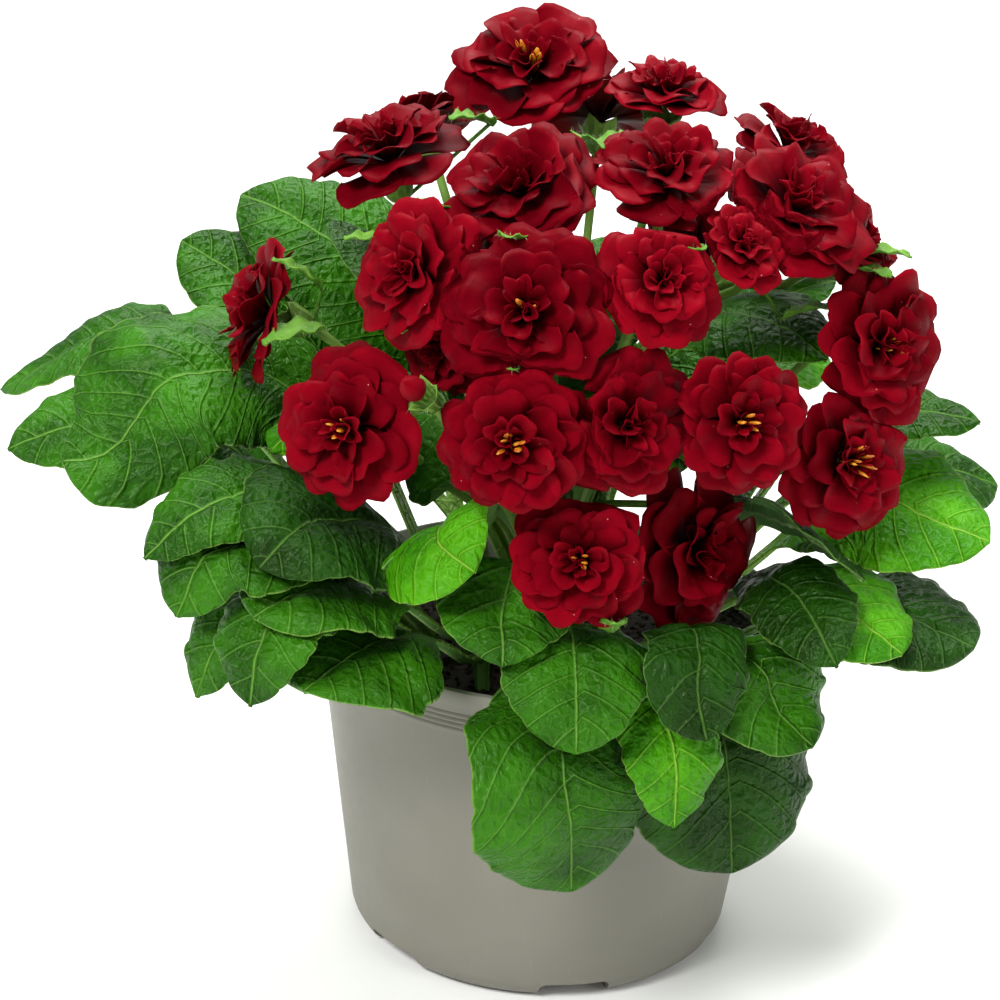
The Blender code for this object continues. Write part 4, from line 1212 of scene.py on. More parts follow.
@dataclass
class FlowerHeads:
    """The double blooms: ring upon ring of thin, notched, ruffled petals round a small eye."""

    rows: int = 10
    columns: int = 13
    thick_mm: float = 0.28
    seed: int = 41

    def dress(self) -> None:
        """Makes the petal and eye finishes."""
        self.velvet = PetalVelvet("crimson_petal_velvet").make()
        self.yellow = PlainTissue("yellow_petal_eye", "#A85206", "#D89210", 0.5).make()

    def petal(self, bloom: Bloom, whorl: Whorl, turn: float, draw: Array) -> tuple:
        """Shapes one petal.

        Args:
            bloom: The bloom.
            whorl: The petal's ring.
            turn: Its bearing in the bloom.
            draw: Five random numbers from -1 to 1.

        Returns:
            Grids of points on its top and under face, in the bloom's own directions.
        """
        radius = 0.5 * bloom.diameter
        u = np.linspace(0, 1, self.rows)[:, None]
        w = np.linspace(-1, 1, self.columns)[None, :]
        length = whorl.length * radius * (1 + 0.07 * draw[0])
        notch = whorl.notch * (1 + 0.6 * draw[1]) * np.exp(-((w / 0.24) ** 2))
        shoulder = 0.34 * np.abs(w) ** 3.2
        scale = 1 - (notch + shoulder) * u**2.5
        steps = np.linspace(0, 1, 40)
        angle = np.radians(whorl.rise + (whorl.end - whorl.rise) * steps**1.3 + 11 * draw[2])
        run = np.concatenate([[0], np.cumsum(0.5 * (np.cos(angle[1:]) + np.cos(angle[:-1])))])
        climb = np.concatenate([[0], np.cumsum(0.5 * (np.sin(angle[1:]) + np.sin(angle[:-1])))])
        reach = u * scale
        out = whorl.root * radius + length * np.interp(reach, steps, run / 39)
        high = whorl.height + length * np.interp(reach, steps, climb / 39)
        bearing = math.radians(turn) + np.radians(whorl.spread) * w * (0.5 + 0.5 * u**0.7)
        fold = (0.08 + 0.14 * draw[3]) * np.abs(w) ** 1.5 - 0.05 * np.abs(w) ** 5
        twist = (0.06 + 0.07 * draw[4]) * w
        wave = whorl.ruffle * np.sin(1.7 * math.pi * w + 2.6 * draw[3]) * u
        high = high + radius * (fold + twist + wave) * u**1.4
        out = out - 0.10 * radius * np.abs(w) ** 2 * u * (whorl.rise > 60)
        top = np.stack([out * np.cos(bearing), out * np.sin(bearing), high + 0 * w], axis=-1)
        normal = np.cross(np.gradient(top, axis=0), np.gradient(top, axis=1))
        normal /= np.maximum(np.linalg.norm(normal, axis=2, keepdims=True), 1e-9)
        taper = self.thick_mm * (1 - 0.45 * u**2) * (1 - 0.35 * w**4)
        return top, top - normal * taper[..., None]

    @staticmethod
    def press(points: Array, planes: list) -> Array:
        """Returns the points moved to their own side of the planes that part the blooms."""
        for _ in range(3):
            for normal, offset in planes:
                short = np.maximum(offset - points @ normal, 0)
                points = points + short[..., None] * normal
        return points

    def add_bloom(self, shell: Shell, bloom: Bloom, rng: np.random.Generator) -> None:
        """Adds one bloom to a piece.

        Args:
            shell: The piece.
            bloom: The bloom.
            rng: The source of its petals' small differences.
        """
        place, face, first, second = bloom_axes(bloom)
        frame = np.stack([first, second, face])
        planes = bloom_planes(bloom)
        u = np.linspace(0, 1, self.rows)[:, None] + np.zeros((1, self.columns))
        w = np.linspace(-1, 1, self.columns)[None, :] + np.zeros((self.rows, 1))
        turn = bloom.spin
        for level, whorl in enumerate(WHORLS):
            turn += 31.0
            for k in range(whorl.count):
                draw = rng.uniform(-1, 1, 5)
                bearing = turn + 360.0 * k / whorl.count + 9 * draw[4]
                top, under = self.petal(bloom, whorl, bearing, draw)
                grids = [self.press(place + grid @ frame, planes) for grid in (top, under)]
                points, faces, _ = sheet_solid(*grids)
                shade = 0.5 + 0.5 * draw[2] - 0.05 * level
                shell.add(points, faces, 0, reach=np.tile(u.ravel(), 2),
                          across=np.tile(w.ravel(), 2), shade=shade, bright=bloom.bright)
        self.add_eye(shell, bloom, (place, frame), planes, rng)

    def add_eye(self, shell: Shell, bloom: Bloom, axes: tuple, planes: list,
                rng: np.random.Generator) -> None:
        """Adds the small curled yellow flakes at a bloom's heart.

        Args:
            shell: The piece.
            bloom: The bloom.
            axes: Its centre and its frame.
            planes: The planes that part it from its neighbours.
            rng: The source of the flakes' small differences.
        """
        place, frame = axes
        radius = 0.5 * bloom.diameter
        count = int(round(7 * bloom.eye))
        for k in range(count):
            draw = rng.uniform(-1, 1, 4)
            turn = math.radians(137.5 * k + 30 * draw[0])
            reach = radius * (0.10 + 0.16 * bloom.eye * (k / 7))
            base = np.array([math.cos(turn), math.sin(turn), 0.0]) * reach * 0.4
            end = np.array([math.cos(turn), math.sin(turn), 0.0]) * reach
            high = 0.36 * radius + 0.05 * radius * draw[1]
            u = np.linspace(0, 1, 6)[:, None]
            line = base + (end - base) * u**1.5
            line[:, 2] = -1.0 + (high + 1.0) * u[:, 0]
            radii = (0.45 + 0.35 * abs(draw[2])) * np.array([0.6, 0.8, 1.0, 1.25, 1.4, 0.5])
            points, faces, _ = tube_solid(line, radii, 7, 0.45)
            points = self.press(place + points @ frame, planes)
            shell.add(points, faces, 1, reach=1.0, shade=0.5, bright=bloom.bright)

    def build(self) -> list:
        """Builds every bloom.

        Returns:
            Each piece with its node's name.
        """
        rng = np.random.default_rng(self.seed)
        shells: dict = {}
        for bloom in BLOOMS:
            shell = shells.setdefault(bloom.node, Shell("reach", "across", "shade", "bright"))
            self.add_bloom(shell, bloom, rng)
        return [
            (shell.build("primrose_" + node, (self.velvet, self.yellow)), node)
            for node, shell in shells.items()
        ]


@dataclass(frozen=True)
class Strewing:
    """Small closed bits, such as soil crumbs or down, strewn where a point value is one."""

    name: str
    layer: str
    per_cm2: float
    size_mm: float
    low: tuple
    high: tuple
    lean: float
    slim: float = 0.0
    seed: int = 7

    def grow(self, obj: bpy.types.Object, finish: bpy.types.Material) -> None:
        """Adds the bits to an object's mesh.

        Args:
            obj: The object.
            finish: The bits' finish.
        """
        tree = self.tree(finish)
        bits = obj.modifiers.new(self.name, "NODES")
        bits.node_group = tree
        sockets = {item.name: item.identifier for item in tree.interface.items_tree
                   if item.item_type == "SOCKET" and item.in_out == "INPUT"}
        bits[sockets["Density"]] = self.per_cm2 * 1e4
        bits[sockets["Size"]] = self.size_mm * MM
        bits[sockets["Seed"]] = self.seed
        baked(obj)

    def tree(self, finish: bpy.types.Material) -> bpy.types.NodeTree:
        """Builds the tree that strews the bits.

        Args:
            finish: The bits' finish.

        Returns:
            The node tree, with inputs for density, size and seed.
        """
        tree = bpy.data.node_groups.new(self.name, "GeometryNodeTree")
        for name, way, kind in (("Geometry", "INPUT", "Geometry"), ("Density", "INPUT", "Float"),
                                ("Size", "INPUT", "Float"), ("Seed", "INPUT", "Int"),
                                ("Geometry", "OUTPUT", "Geometry")):
            tree.interface.new_socket(name, in_out=way, socket_type="NodeSocket" + kind)

        def add(kind: str, inputs: dict | None = None, **settings: object) -> bpy.types.Node:
            """Adds a node with its settings and links."""
            node = tree.nodes.new(kind)
            for key, value in settings.items():
                setattr(node, key, value)
            for key, value in (inputs or {}).items():
                if isinstance(value, bpy.types.NodeSocket):
                    tree.links.new(value, node.inputs[key])
                else:
                    node.inputs[key].default_value = value
            return node

        given = add("NodeGroupInput").outputs
        layer = add("GeometryNodeInputNamedAttribute", {"Name": self.layer}, data_type="FLOAT")
        chosen = add("FunctionNodeCompare", {0: layer.outputs["Attribute"], 1: 0.5},
                     operation="GREATER_THAN")
        spread = add("GeometryNodeDistributePointsOnFaces",
                     {"Mesh": given["Geometry"], "Selection": chosen.outputs[0],
                      "Density": given["Density"], "Seed": given["Seed"]})
        if self.slim:
            bit = add("GeometryNodeMeshCone", {"Vertices": 3, "Radius Top": 0.0,
                                               "Radius Bottom": self.slim, "Depth": 1.0})
        else:
            bit = add("GeometryNodeMeshIcoSphere", {"Radius": 1.0, "Subdivisions": 1})
        lean = (self.lean, self.lean, math.pi)
        tilt = add("FunctionNodeRandomValue", {"Min": tuple(-x for x in lean), "Max": lean,
                                               "Seed": given["Seed"]}, data_type="FLOAT_VECTOR")
        turn = add("FunctionNodeRotateRotation", {"Rotation": spread.outputs["Rotation"],
                                                  "Rotate By": tilt.outputs[0]},
                   rotation_space="LOCAL")
        form = add("FunctionNodeRandomValue", {"Min": self.low, "Max": self.high,
                                               "Seed": given["Seed"]}, data_type="FLOAT_VECTOR")
        scale = add("ShaderNodeVectorMath", {0: form.outputs[0], "Scale": given["Size"]},
                    operation="SCALE")
        placed = add("GeometryNodeInstanceOnPoints",
                     {"Points": spread.outputs["Points"], "Instance": bit.outputs["Mesh"],
                      "Rotation": turn.outputs[0], "Scale": scale.outputs[0]})
        real = add("GeometryNodeRealizeInstances", {0: placed.outputs[0]})
        painted = add("GeometryNodeSetMaterial", {"Geometry": real.outputs[0],
                                                  "Material": finish})
        joined = add("GeometryNodeJoinGeometry")
        tree.links.new(given["Geometry"], joined.inputs[0])
        tree.links.new(painted.outputs[0], joined.inputs[0])
        tree.links.new(joined.outputs[0], add("NodeGroupOutput").inputs[0])
        return tree


@dataclass
class Crown:
    """The short stem, the flower stalks with their toothed calyces, and the young leaves."""

    stalk_radius: float = 1.15
    sides: int = 8
    calyx_sides: int = 30
    teeth: int = 5
    mouth_radius: float = 4.7
    tooth_radius: float = 6.4
    tooth_length: float = 4.4
    wall: float = 0.35
    bract_rows: int = 12
    bract_columns: int = 9
    down: Strewing = Strewing("stalk_down", "downy", 28.0, 1.2, (0.9, 0.9, 0.5), (1.1, 1.1, 1.3),
                              0.5, slim=0.028)

    def dress(self) -> None:
        """Makes the stalk finish."""
        self.green = StalkTissue("downy_flower_stalk", "#86A84A", "#4C7424").make()
        self.fresh = StalkTissue("fresh_bract", "#74A23A", "#4A7A1E").make()
        self.hair = PlainTissue("stalk_down", "#B4C890", "#D2DEB4", 0.5).make()

    def calyx(self, foot: Array, face: Array, scale: float) -> tuple:
        """Makes a closed, ribbed cup whose rim is cut into pointed teeth.

        Args:
            foot: Where it starts on the stalk.
            face: The way it opens.
            scale: Its width over the usual one.

        Returns:
            Points, faces and a value across each rib.
        """
        side = unit(np.cross(face, np.array([0.21, 0.37, 0.9])))
        other = np.cross(face, side)
        angles = np.arange(self.calyx_sides) * 2 * math.pi / self.calyx_sides
        wave = np.abs((angles * self.teeth / (2 * math.pi)) % 1 - 0.5) * 2
        tooth = wave**1.4
        rib = 1 + 0.05 * np.cos(angles * self.teeth * 2)
        rings = []
        for share, radius in ((0, self.stalk_radius), (0.12, 2.4), (0.35, CALYX_RADIUS),
                              (0.65, 3.9), (1.0, self.mouth_radius)):
            rings.append((radius * scale * rib, np.full_like(angles, share * CALYX_LENGTH * 0.8)))
        for share in (0.5, 1.0):
            radius = self.mouth_radius + (self.tooth_radius - self.mouth_radius) * share * tooth
            rise = 0.8 * CALYX_LENGTH + share * tooth * self.tooth_length * 0.6
            rings.append((radius * scale, rise))
        outer = len(rings)
        for k in (outer - 1, outer - 2, outer - 3, 2):
            radius, rise = rings[k]
            rings.append((np.maximum(radius - self.wall, 0.3), rise - (0.3 if k == 2 else 0.0)))
        points = np.vstack([
            foot + np.outer(radius * np.cos(angles), side) + np.outer(radius * np.sin(angles), other)
            + np.outer(rise, face)
            for radius, rise in rings
        ] + [foot[None], (foot + face * rings[-1][1][0])[None]])
        faces = []
        n = self.calyx_sides
        for k in range(len(rings) - 1):
            for i in range(n):
                j = (i + 1) % n
                faces.append((k * n + i, k * n + j, (k + 1) * n + j, (k + 1) * n + i))
        low, high = len(points) - 2, len(points) - 1
        last = (len(rings) - 1) * n
        for i in range(n):
            j = (i + 1) % n
            faces.append((low, j, i))
            faces.append((high, last + i, last + j))
        ribs = np.concatenate([np.tile(angles * self.teeth / math.pi, len(rings)), [0, 0]])
        return points, faces, ribs

    def bract(self, bract: Bract) -> tuple:
        """Shapes a small crinkled, cupped bract.

        Args:
            bract: Its place and form.

        Returns:
            Points and faces.
        """
        along = direction(bract.bearing, bract.lift)
        side = unit(np.cross(along, UP) if abs(along[2]) < 0.95 else outward(bract.bearing + 90))
        above = np.cross(side, along)
        u = np.linspace(0, 1, self.bract_rows)[:, None]
        v = np.linspace(-1, 1, self.bract_columns)[None, :]
        half = 0.5 * bract.width * np.sin(math.pi * (0.08 + 0.86 * u**0.8)) ** 0.7
        teeth = 1 + 0.10 * np.sin(21 * u) * np.abs(v) ** 4
        bend = 0.30 * bract.length * u**2
        crinkle = 0.045 * bract.length * np.sin(17 * u + 2 * v) * np.abs(v)
        lift = 0.35 * half * v**2 - bend + crinkle
        top = (np.array(bract.place) + u[..., None] * bract.length * along
               + (half * v * teeth)[..., None] * side + lift[..., None] * above)
        return sheet_solid(top, top - 0.35 * above)[:2]

    def build(self, curves: list, rosette: Rosette, nudges: list) -> bpy.types.Object:
        """Builds the crown.

        Args:
            curves: The centre line of each stalk, in the order of the heads.
            rosette: The leaf builder, for the young leaves.
            nudges: The settling moves of each young leaf.

        Returns:
            The piece.
        """
        layers = ("along_mm", "lateral_mm", "vein_phase", "edge", "stalk", "seed", "across",
                  "downy")
        shell = Shell(*layers)
        materials = [self.green, self.fresh]
        for k, (leaf, nudge) in enumerate(zip(YOUNG_LEAVES + INNER_LEAVES, nudges)):
            rosette.add_leaf(shell, leaf, nudge, 60 + k, len(materials))
            materials.extend(rosette.finishes[leaf.tone])
        height = np.array([-ROOT_DEPTH, -1.0, HUB_HEIGHT - 2.5, HUB_HEIGHT - 0.6, HUB_HEIGHT])
        line = np.outer(SOIL_LEVEL + height, UP)
        radii = HUB_RADIUS * np.array([0.86, 1.0, 0.93, 0.7, 0.3])
        shell.add(*tube_solid(line, radii, 20)[:2])
        for head, curve in zip(BLOOMS + BUDS, curves):
            face = direction(*head.face)
            t = np.linspace(0, 1, len(curve))
            radii = self.stalk_radius * (1.1 - 0.15 * np.sin(math.pi * t))
            shell.add(*tube_solid(curve, radii, self.sides)[:2], across=0.5, downy=1.0)
            scale = 1.0 if isinstance(head, Bloom) else 0.72
            points, faces, ribs = self.calyx(curve[-1], face, scale)
            shell.add(points, faces, 0, across=ribs, downy=1.0)
        for bract in BRACTS:
            foot = np.array(bract.place, float)
            near = min((point for curve in curves for point in curve),
                       key=lambda point: np.linalg.norm(point - foot))
            line = np.linspace(near, foot, 4)
            shell.add(*tube_solid(line, np.full(4, 0.5), 6)[:2], 1, downy=1.0)
            shell.add(*self.bract(bract), 1, downy=1.0)
        crown = shell.build("primrose_crown", tuple(materials))
        self.down.grow(crown, self.hair)
        return crown


@dataclass
class ClosedBud:
    """A pointed bud of wrapped red petals."""

    radius: float = 3.0
    length: float = 9.0
    rows: int = 14
    sides: int = 30
    wraps: int = 3

    def build(self, velvet: bpy.types.Material) -> bpy.types.Object:
        """Builds the bud.

        Args:
            velvet: The petals' finish.

        Returns:
            The piece.
        """
        shell = Shell("reach", "across", "shade", "bright")
        bud = BUDS[0]
        face = direction(*bud.face)
        side = unit(np.cross(UP, face))
        other = np.cross(face, side)
        x = np.linspace(0, 1, self.rows)
        body = np.sin(math.pi * np.clip(x, 0.02, 0.985) ** 0.8) ** 0.8
        angles = np.arange(self.sides) * 2 * math.pi / self.sides
        rings = []
        for share, width in zip(x, body):
            turn = angles * self.wraps + 2.4 * share * math.pi
            radius = self.radius * width * (1 + 0.10 * ((turn / (2 * math.pi)) % 1 - 0.5))
            centre = np.array(bud.place, float) + face * self.length * share
            rings.append(centre + np.outer(radius * np.cos(angles), side)
                         + np.outer(radius * np.sin(angles), other))
        points = np.vstack([*rings, rings[0].mean(axis=0)[None], rings[-1].mean(axis=0)[None]])
        faces = []
        n = self.sides
        for k in range(self.rows - 1):
            for i in range(n):
                j = (i + 1) % n
                faces.append((k * n + i, k * n + j, (k + 1) * n + j, (k + 1) * n + i))
        last = (self.rows - 1) * n
        for i in range(n):
            j = (i + 1) % n
            faces.append((len(points) - 2, j, i))
            faces.append((len(points) - 1, last + i, last + j))
        reach = np.concatenate([np.repeat(0.3 + 0.7 * x, n), [0.3, 1.0]])
        across = np.concatenate([np.tile(angles, self.rows), [0, 0]])
        # The last value sets how much painted light brightens the bud's red.
        shell.add(points, faces, 0, reach=reach, across=across, shade=0.7, bright=0.6)
        return shell.build("primrose_bud_01", (velvet,))


def lathe(name: str, profile: list, sides: int) -> bpy.types.Object:
    """Turns a closed profile about the Z axis.

    Args:
        name: The object's name.
        profile: (radius, height) points in millimetres; the first and last are on the axis.
        sides: How many sides the turned body has.

    Returns:
        The object.
    """
    shell = Shell()
    angles = np.arange(sides) * 2 * math.pi / sides
    points = [np.array([[0, 0, profile[0][1]]])]
    for radius, height in profile[1:-1]:
        points.append(np.stack([radius * np.cos(angles), radius * np.sin(angles),
                                np.full(sides, height)], axis=1))
    points.append(np.array([[0, 0, profile[-1][1]]]))
    points = np.vstack(points)
    faces = []
    rings = len(profile) - 2
    for i in range(sides):
        j = (i + 1) % sides
        faces.append((0, 1 + j, 1 + i))
        faces.append((len(points) - 1, 1 + (rings - 1) * sides + i, 1 + (rings - 1) * sides + j))
        for k in range(rings - 1):
            a, b = 1 + k * sides, 1 + (k + 1) * sides
            faces.append((a + i, a + j, b + j, b + i))
    shell.add(points, faces)
    return shell.build(name, ())


def baked(obj: bpy.types.Object) -> bpy.types.Object:
    """Turns an object's modifiers into its mesh and removes them.

    Args:
        obj: The object.

    Returns:
        The same object, with a plain mesh.
    """
    depsgraph = bpy.context.evaluated_depsgraph_get()
    mesh = bpy.data.meshes.new_from_object(obj.evaluated_get(depsgraph))
    obj.modifiers.clear()
    old = obj.data
    obj.data = mesh
    bpy.data.meshes.remove(old)
    mesh.name = obj.name
    return obj


@dataclass
class NurseryPot:
    """The thin tapered pot: rolled rim, fine ridges under it, notched foot and drain holes."""

    sides: int = 144
    rim_lip: float = 1.2
    rim_depth: float = 4.5
    ease: float = 0.8
    corner: float = 7.0
    foot_width: float = 5.0
    foot_setback: float = 0.5
    pad_radius: float = 9.0
    ridges: int = 4
    ridge_pitch: float = 1.5
    ridge_depth: float = 0.28
    notches: int = 6
    notch_bearing: float = 11.0
    notch_width: float = 21.0
    notch_height: float = 5.5
    notch_round: float = 2.2
    drain_radius: float = 4.0
    drain_ring: float = 34.0

    @staticmethod
    def wall_radius(height: float) -> float:
        """Returns the outer radius of the tapered wall at a height."""
        return FOOT_RADIUS + (RIM_RADIUS - FOOT_RADIUS) * height / POT_HEIGHT

    def profile(self) -> list:
        """Returns the pot's section from the axis under the floor to the axis over it."""
        wall = self.wall_radius
        corner = []
        for angle in (86, 74, 62, 50, 38, 26, 14, 2):
            a = math.radians(angle)
            radius = wall(self.corner) - self.corner * (1 - math.cos(a))
            corner.append((radius, self.corner * (1 - math.sin(a))))
        foot = corner[0][0] - self.foot_setback
        under_rim = POT_HEIGHT - self.rim_depth
        lip = wall(under_rim) + self.rim_lip
        floor = FLOOR_RISE + WALL
        points = [(0.0, 0.0), (self.pad_radius, 0.0), (self.pad_radius, FLOOR_RISE),
                  (foot - self.foot_width, FLOOR_RISE), (foot - self.foot_width, 0.0),
                  (foot, 0.0), *corner]
        low = under_rim - 2.2 - self.ridges * self.ridge_pitch
        for height in (20.0, 45.0, low - 1.0, low):
            points.append((wall(height), height))
        for k in range(self.ridges):
            base = low + k * self.ridge_pitch
            points.append((wall(base) + self.ridge_depth, base + 0.35 * self.ridge_pitch))
            points.append((wall(base) + self.ridge_depth, base + 0.6 * self.ridge_pitch))
            points.append((wall(base), base + 0.95 * self.ridge_pitch))
        points += [(wall(under_rim), under_rim), (lip - 0.3, under_rim + 0.25),
                   (lip, under_rim + self.ease), (lip, POT_HEIGHT - self.ease),
                   (lip - 0.25, POT_HEIGHT - 0.25), (lip - self.ease, POT_HEIGHT),
                   (RIM_RADIUS - WALL + 0.3, POT_HEIGHT),
                   (RIM_RADIUS - WALL, POT_HEIGHT - 0.3), (wall(9.0) - WALL, 9.0),
                   (wall(floor) - WALL - 1.0, floor + 1.2), (wall(floor) - WALL - 3.0, floor),
                   (0.0, floor)]
        return points

    def build(self) -> bpy.types.Object:
        """Builds the pot, with its notches and drain holes cut.

        Returns:
            The piece.
        """
        pot = lathe("primrose_pot", self.profile(), self.sides)
        pot.data.materials.append(NurseryPlastic().make())
        cutters = []
        pitch = 360.0 / self.notches
        half = 0.5 * math.radians(self.notch_width) * FOOT_RADIUS
        for k in range(self.notches):
            bearing = self.notch_bearing + pitch * k
            work = bmesh.new()
            bmesh.ops.create_cube(work, size=1.0)
            depth = 3 * self.foot_width + 3.0
            bmesh.ops.scale(work, verts=work.verts,
                            vec=(2 * half * MM, depth * MM, (self.notch_height + 4) * MM))
            bmesh.ops.bevel(work, geom=[e for e in work.edges if self.top_side(e)],
                            offset=self.notch_round * MM, segments=4, affect="EDGES",
                            profile=0.5)
            out = outward(bearing) * (FOOT_RADIUS - 4.0)
            turn = Matrix.Rotation(math.radians(bearing), 4, "Z")
            shift = Matrix.Translation(Vector((out[0], out[1], 0.5 * self.notch_height - 2)) * MM)
            bmesh.ops.transform(work, matrix=shift @ turn, verts=work.verts)
            cutters.append(self.cutter(f"notch_cutter_{k}", work))
            work = bmesh.new()
            centre = outward(bearing + pitch / 2) * self.drain_ring
            bmesh.ops.create_cone(work, cap_ends=True, segments=24,
                                  radius1=self.drain_radius * MM,
                                  radius2=self.drain_radius * MM, depth=4 * WALL * MM)
            bmesh.ops.translate(work, verts=work.verts,
                                vec=Vector((centre[0], centre[1], FLOOR_RISE + 0.5 * WALL)) * MM)
            cutters.append(self.cutter(f"drain_cutter_{k}", work))
        group = bpy.data.collections.new("pot_cutters")
        bpy.context.scene.collection.children.link(group)
        for cutter in cutters:
            group.objects.link(cutter)
        cut = pot.modifiers.new("Cut", "BOOLEAN")
        cut.operand_type = "COLLECTION"
        cut.collection = group
        cut.solver = "EXACT"
        baked(pot)
        for cutter in cutters:
            bpy.data.objects.remove(cutter)
        bpy.data.collections.remove(group)
        pot.data.shade_smooth()
        pot.data.set_sharp_from_angle(angle=math.radians(38))
        return pot

    @staticmethod
    def top_side(edge: bmesh.types.BMEdge) -> bool:
        """Returns whether an edge of the notch block runs outward along its top."""
        a, b = (vert.co for vert in edge.verts)
        return a.z > 0 and b.z > 0 and abs(a.y - b.y) > 1e-6

    @staticmethod
    def cutter(name: str, work: bmesh.types.BMesh) -> bpy.types.Object:
        """Returns a hidden object made from the work mesh, for the pot to be cut by."""
        mesh = bpy.data.meshes.new(name)
        bmesh.ops.recalc_face_normals(work, faces=work.faces)
        work.to_mesh(mesh)
        work.free()
        obj = bpy.data.objects.new(name, mesh)
        obj.hide_render = True
        return obj


@dataclass
class GrowingMedium:
    """Peat mix with an uneven crumbly top."""

    sides: int = 96
    seed: int = 7
    crumbs: Strewing = Strewing("soil_crumbs", "top", 14.0, 1.8, (0.25, 0.3, 0.15),
                                (0.9, 0.7, 0.5), math.pi)

    def build(self) -> bpy.types.Object:
        """Builds the soil and its crumbs as one piece.

        Returns:
            The piece.
        """
        wall = NurseryPot.wall_radius
        bottom = FLOOR_RISE + WALL + 0.45
        shoulder = wall(SOIL_LEVEL - 3.0) - WALL - 0.45
        profile = [(0.0, bottom), (wall(bottom) - WALL - 3.5, bottom),
                   (wall(9.0) - WALL - 0.45, 9.5), (shoulder, SOIL_LEVEL - 3.0)]
        profile += [(shoulder - 3.0, SOIL_LEVEL - 0.45)]
        profile += [(radius, SOIL_LEVEL) for radius in (54, 48, 42, 36, 30, 24, 18, 12, 6)]
        profile += [(0.0, SOIL_LEVEL)]
        soil = lathe("primrose_soil", profile, self.sides)
        rng = np.random.default_rng(self.seed)
        coords = np.zeros(len(soil.data.vertices) * 3, np.float32)
        soil.data.vertices.foreach_get("co", coords)
        coords = coords.reshape(-1, 3)
        level = coords[:, 2] > (SOIL_LEVEL - 1) * MM
        coords[level, 2] += rng.uniform(-0.9, 0.0, level.sum()).astype(np.float32) * MM
        soil.data.vertices.foreach_set("co", coords.ravel())
        peat = PeatMix().make()
        soil.data.materials.append(peat)
        top = soil.data.attributes.new("top", "FLOAT", "POINT")
        top.data.foreach_set("value", level.astype(np.float32))
        self.crumbs.grow(soil, peat)
        soil.data.shade_smooth()
        return soil


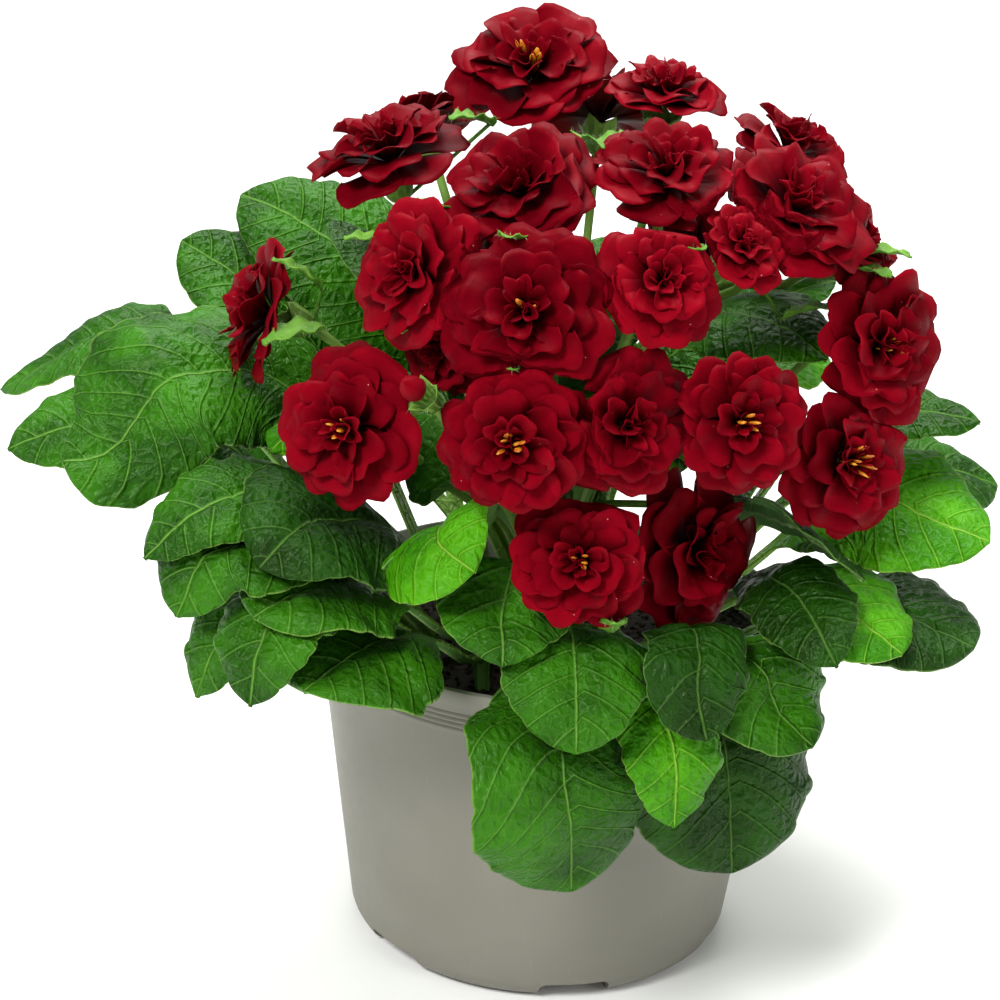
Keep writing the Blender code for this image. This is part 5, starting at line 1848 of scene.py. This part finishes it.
@dataclass
class Studio:
    """The white sweep, three soft lights and the camera at the photograph's place."""

    elevation: float = 21.0
    distance: float = 653.0
    focal_px: float = 2400.0
    frame_px: float = 1000.0
    sensor: float = 36.0
    aim: tuple = (-15.5, 0.0, 124.0)
    roll: float = 2.4

    def floor(self) -> bpy.types.Object:
        """Builds the paper sweep.

        Returns:
            The stage object.
        """
        mesh = bpy.data.meshes.new("stage_sweep")
        work = bmesh.new()
        bmesh.ops.create_grid(work, x_segments=2, y_segments=2, size=4.0)
        work.to_mesh(mesh)
        work.free()
        sweep = bpy.data.objects.new("stage_sweep", mesh)
        bpy.context.scene.collection.objects.link(sweep)
        mesh.materials.append(StageCard().make())
        return sweep

    def camera(self) -> bpy.types.Object:
        """Sets up the camera.

        Returns:
            The camera.
        """
        e = math.radians(self.elevation)
        back = Vector((0, -math.cos(e), math.sin(e)))
        data = bpy.data.cameras.new("camera")
        data.sensor_width = self.sensor
        data.lens = self.focal_px / self.frame_px * self.sensor
        data.clip_start = 0.01
        data.dof.use_dof = False
        camera = bpy.data.objects.new("camera", data)
        bpy.context.scene.collection.objects.link(camera)
        turn = (-back).to_track_quat("-Z", "Y").to_matrix().to_4x4()
        turn = turn @ Matrix.Rotation(math.radians(self.roll), 4, "Z")
        place = (Vector(self.aim) + back * self.distance) * MM
        camera.matrix_world = Matrix.Translation(place) @ turn
        bpy.context.scene.camera = camera
        return camera

    def lights(self) -> None:
        """Adds the soft lights, one of them for the far floor, and a pale even surround."""
        spots = (
            ("key_light", (-0.8, -1.1, 1.4), 0.6, 34.0),
            ("fill_light", (1.2, -1.0, 0.9), 1.0, 7.0),
            ("top_light", (0.1, 0.3, 1.6), 0.9, 28.0),
            ("backdrop_light", (0.0, 2.4, 1.9), 2.0, 42.0),
        )
        for name, place, size, power in spots:
            data = bpy.data.lights.new(name, "AREA")
            data.shape = "DISK"
            data.size = size
            data.energy = power
            lamp = bpy.data.objects.new(name, data)
            bpy.context.scene.collection.objects.link(lamp)
            lamp.location = place
            target = (0, 2.4, 0) if name == "backdrop_light" else (0, 0, 0.15)
            aim = Vector(target) - Vector(place)
            lamp.rotation_euler = aim.to_track_quat("-Z", "Y").to_euler()
        world = bpy.data.worlds.new("pale_surround")
        bpy.context.scene.world = world
        world.use_nodes = True
        surround = world.node_tree.nodes["Background"]
        surround.inputs["Color"].default_value = linear("#FFFFFF")
        surround.inputs["Strength"].default_value = 0.34


def install(piece: bpy.types.Object, slot: str, *nodes: str) -> None:
    """Rides a finished piece on the body and lets it stand for its CAD nodes.

    Args:
        piece: The piece.
        slot: The record's material slot, which is not used.
        nodes: The CAD nodes that it replaces.
    """
    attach(piece, BODY)
    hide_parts(*nodes)
    LOG.info("%s: %d faces", piece.name, len(piece.data.polygons))


def main() -> None:
    """Builds the stage and every piece in order."""
    logging.basicConfig(level=logging.INFO, format="%(message)s")
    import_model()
    bpy.context.scene.view_settings.view_transform = "Standard"
    studio = Studio()
    studio.camera()
    studio.floor()
    studio.lights()
    nudges, samples = settle_leaves(LEAVES + YOUNG_LEAVES)
    inner_nudges, _ = settle_leaves(LEAVES + YOUNG_LEAVES + INNER_LEAVES)
    nudges = nudges + inner_nudges[len(nudges) :]
    heads = BLOOMS + BUDS
    curves = [stalk_curve(head, start, samples) for head, start in zip(heads, hub_points(heads))]
    install(NurseryPot().build(), "pot", "pot")
    install(GrowingMedium().build(), "growing_medium", "soil")
    rosette = Rosette()
    rosette.dress()
    for piece, node in rosette.build(nudges[: len(LEAVES)]):
        install(piece, "leaf", node)
    heads_builder = FlowerHeads()
    heads_builder.dress()
    for piece, node in heads_builder.build():
        install(piece, "petal", node)
    crown = Crown()
    crown.dress()
    install(crown.build(curves, rosette, nudges[len(LEAVES) :]), "flower_stalk", "crown")
    install(ClosedBud().build(heads_builder.velvet), "petal", "bud_01")


if __name__ == "__main__":
    main()
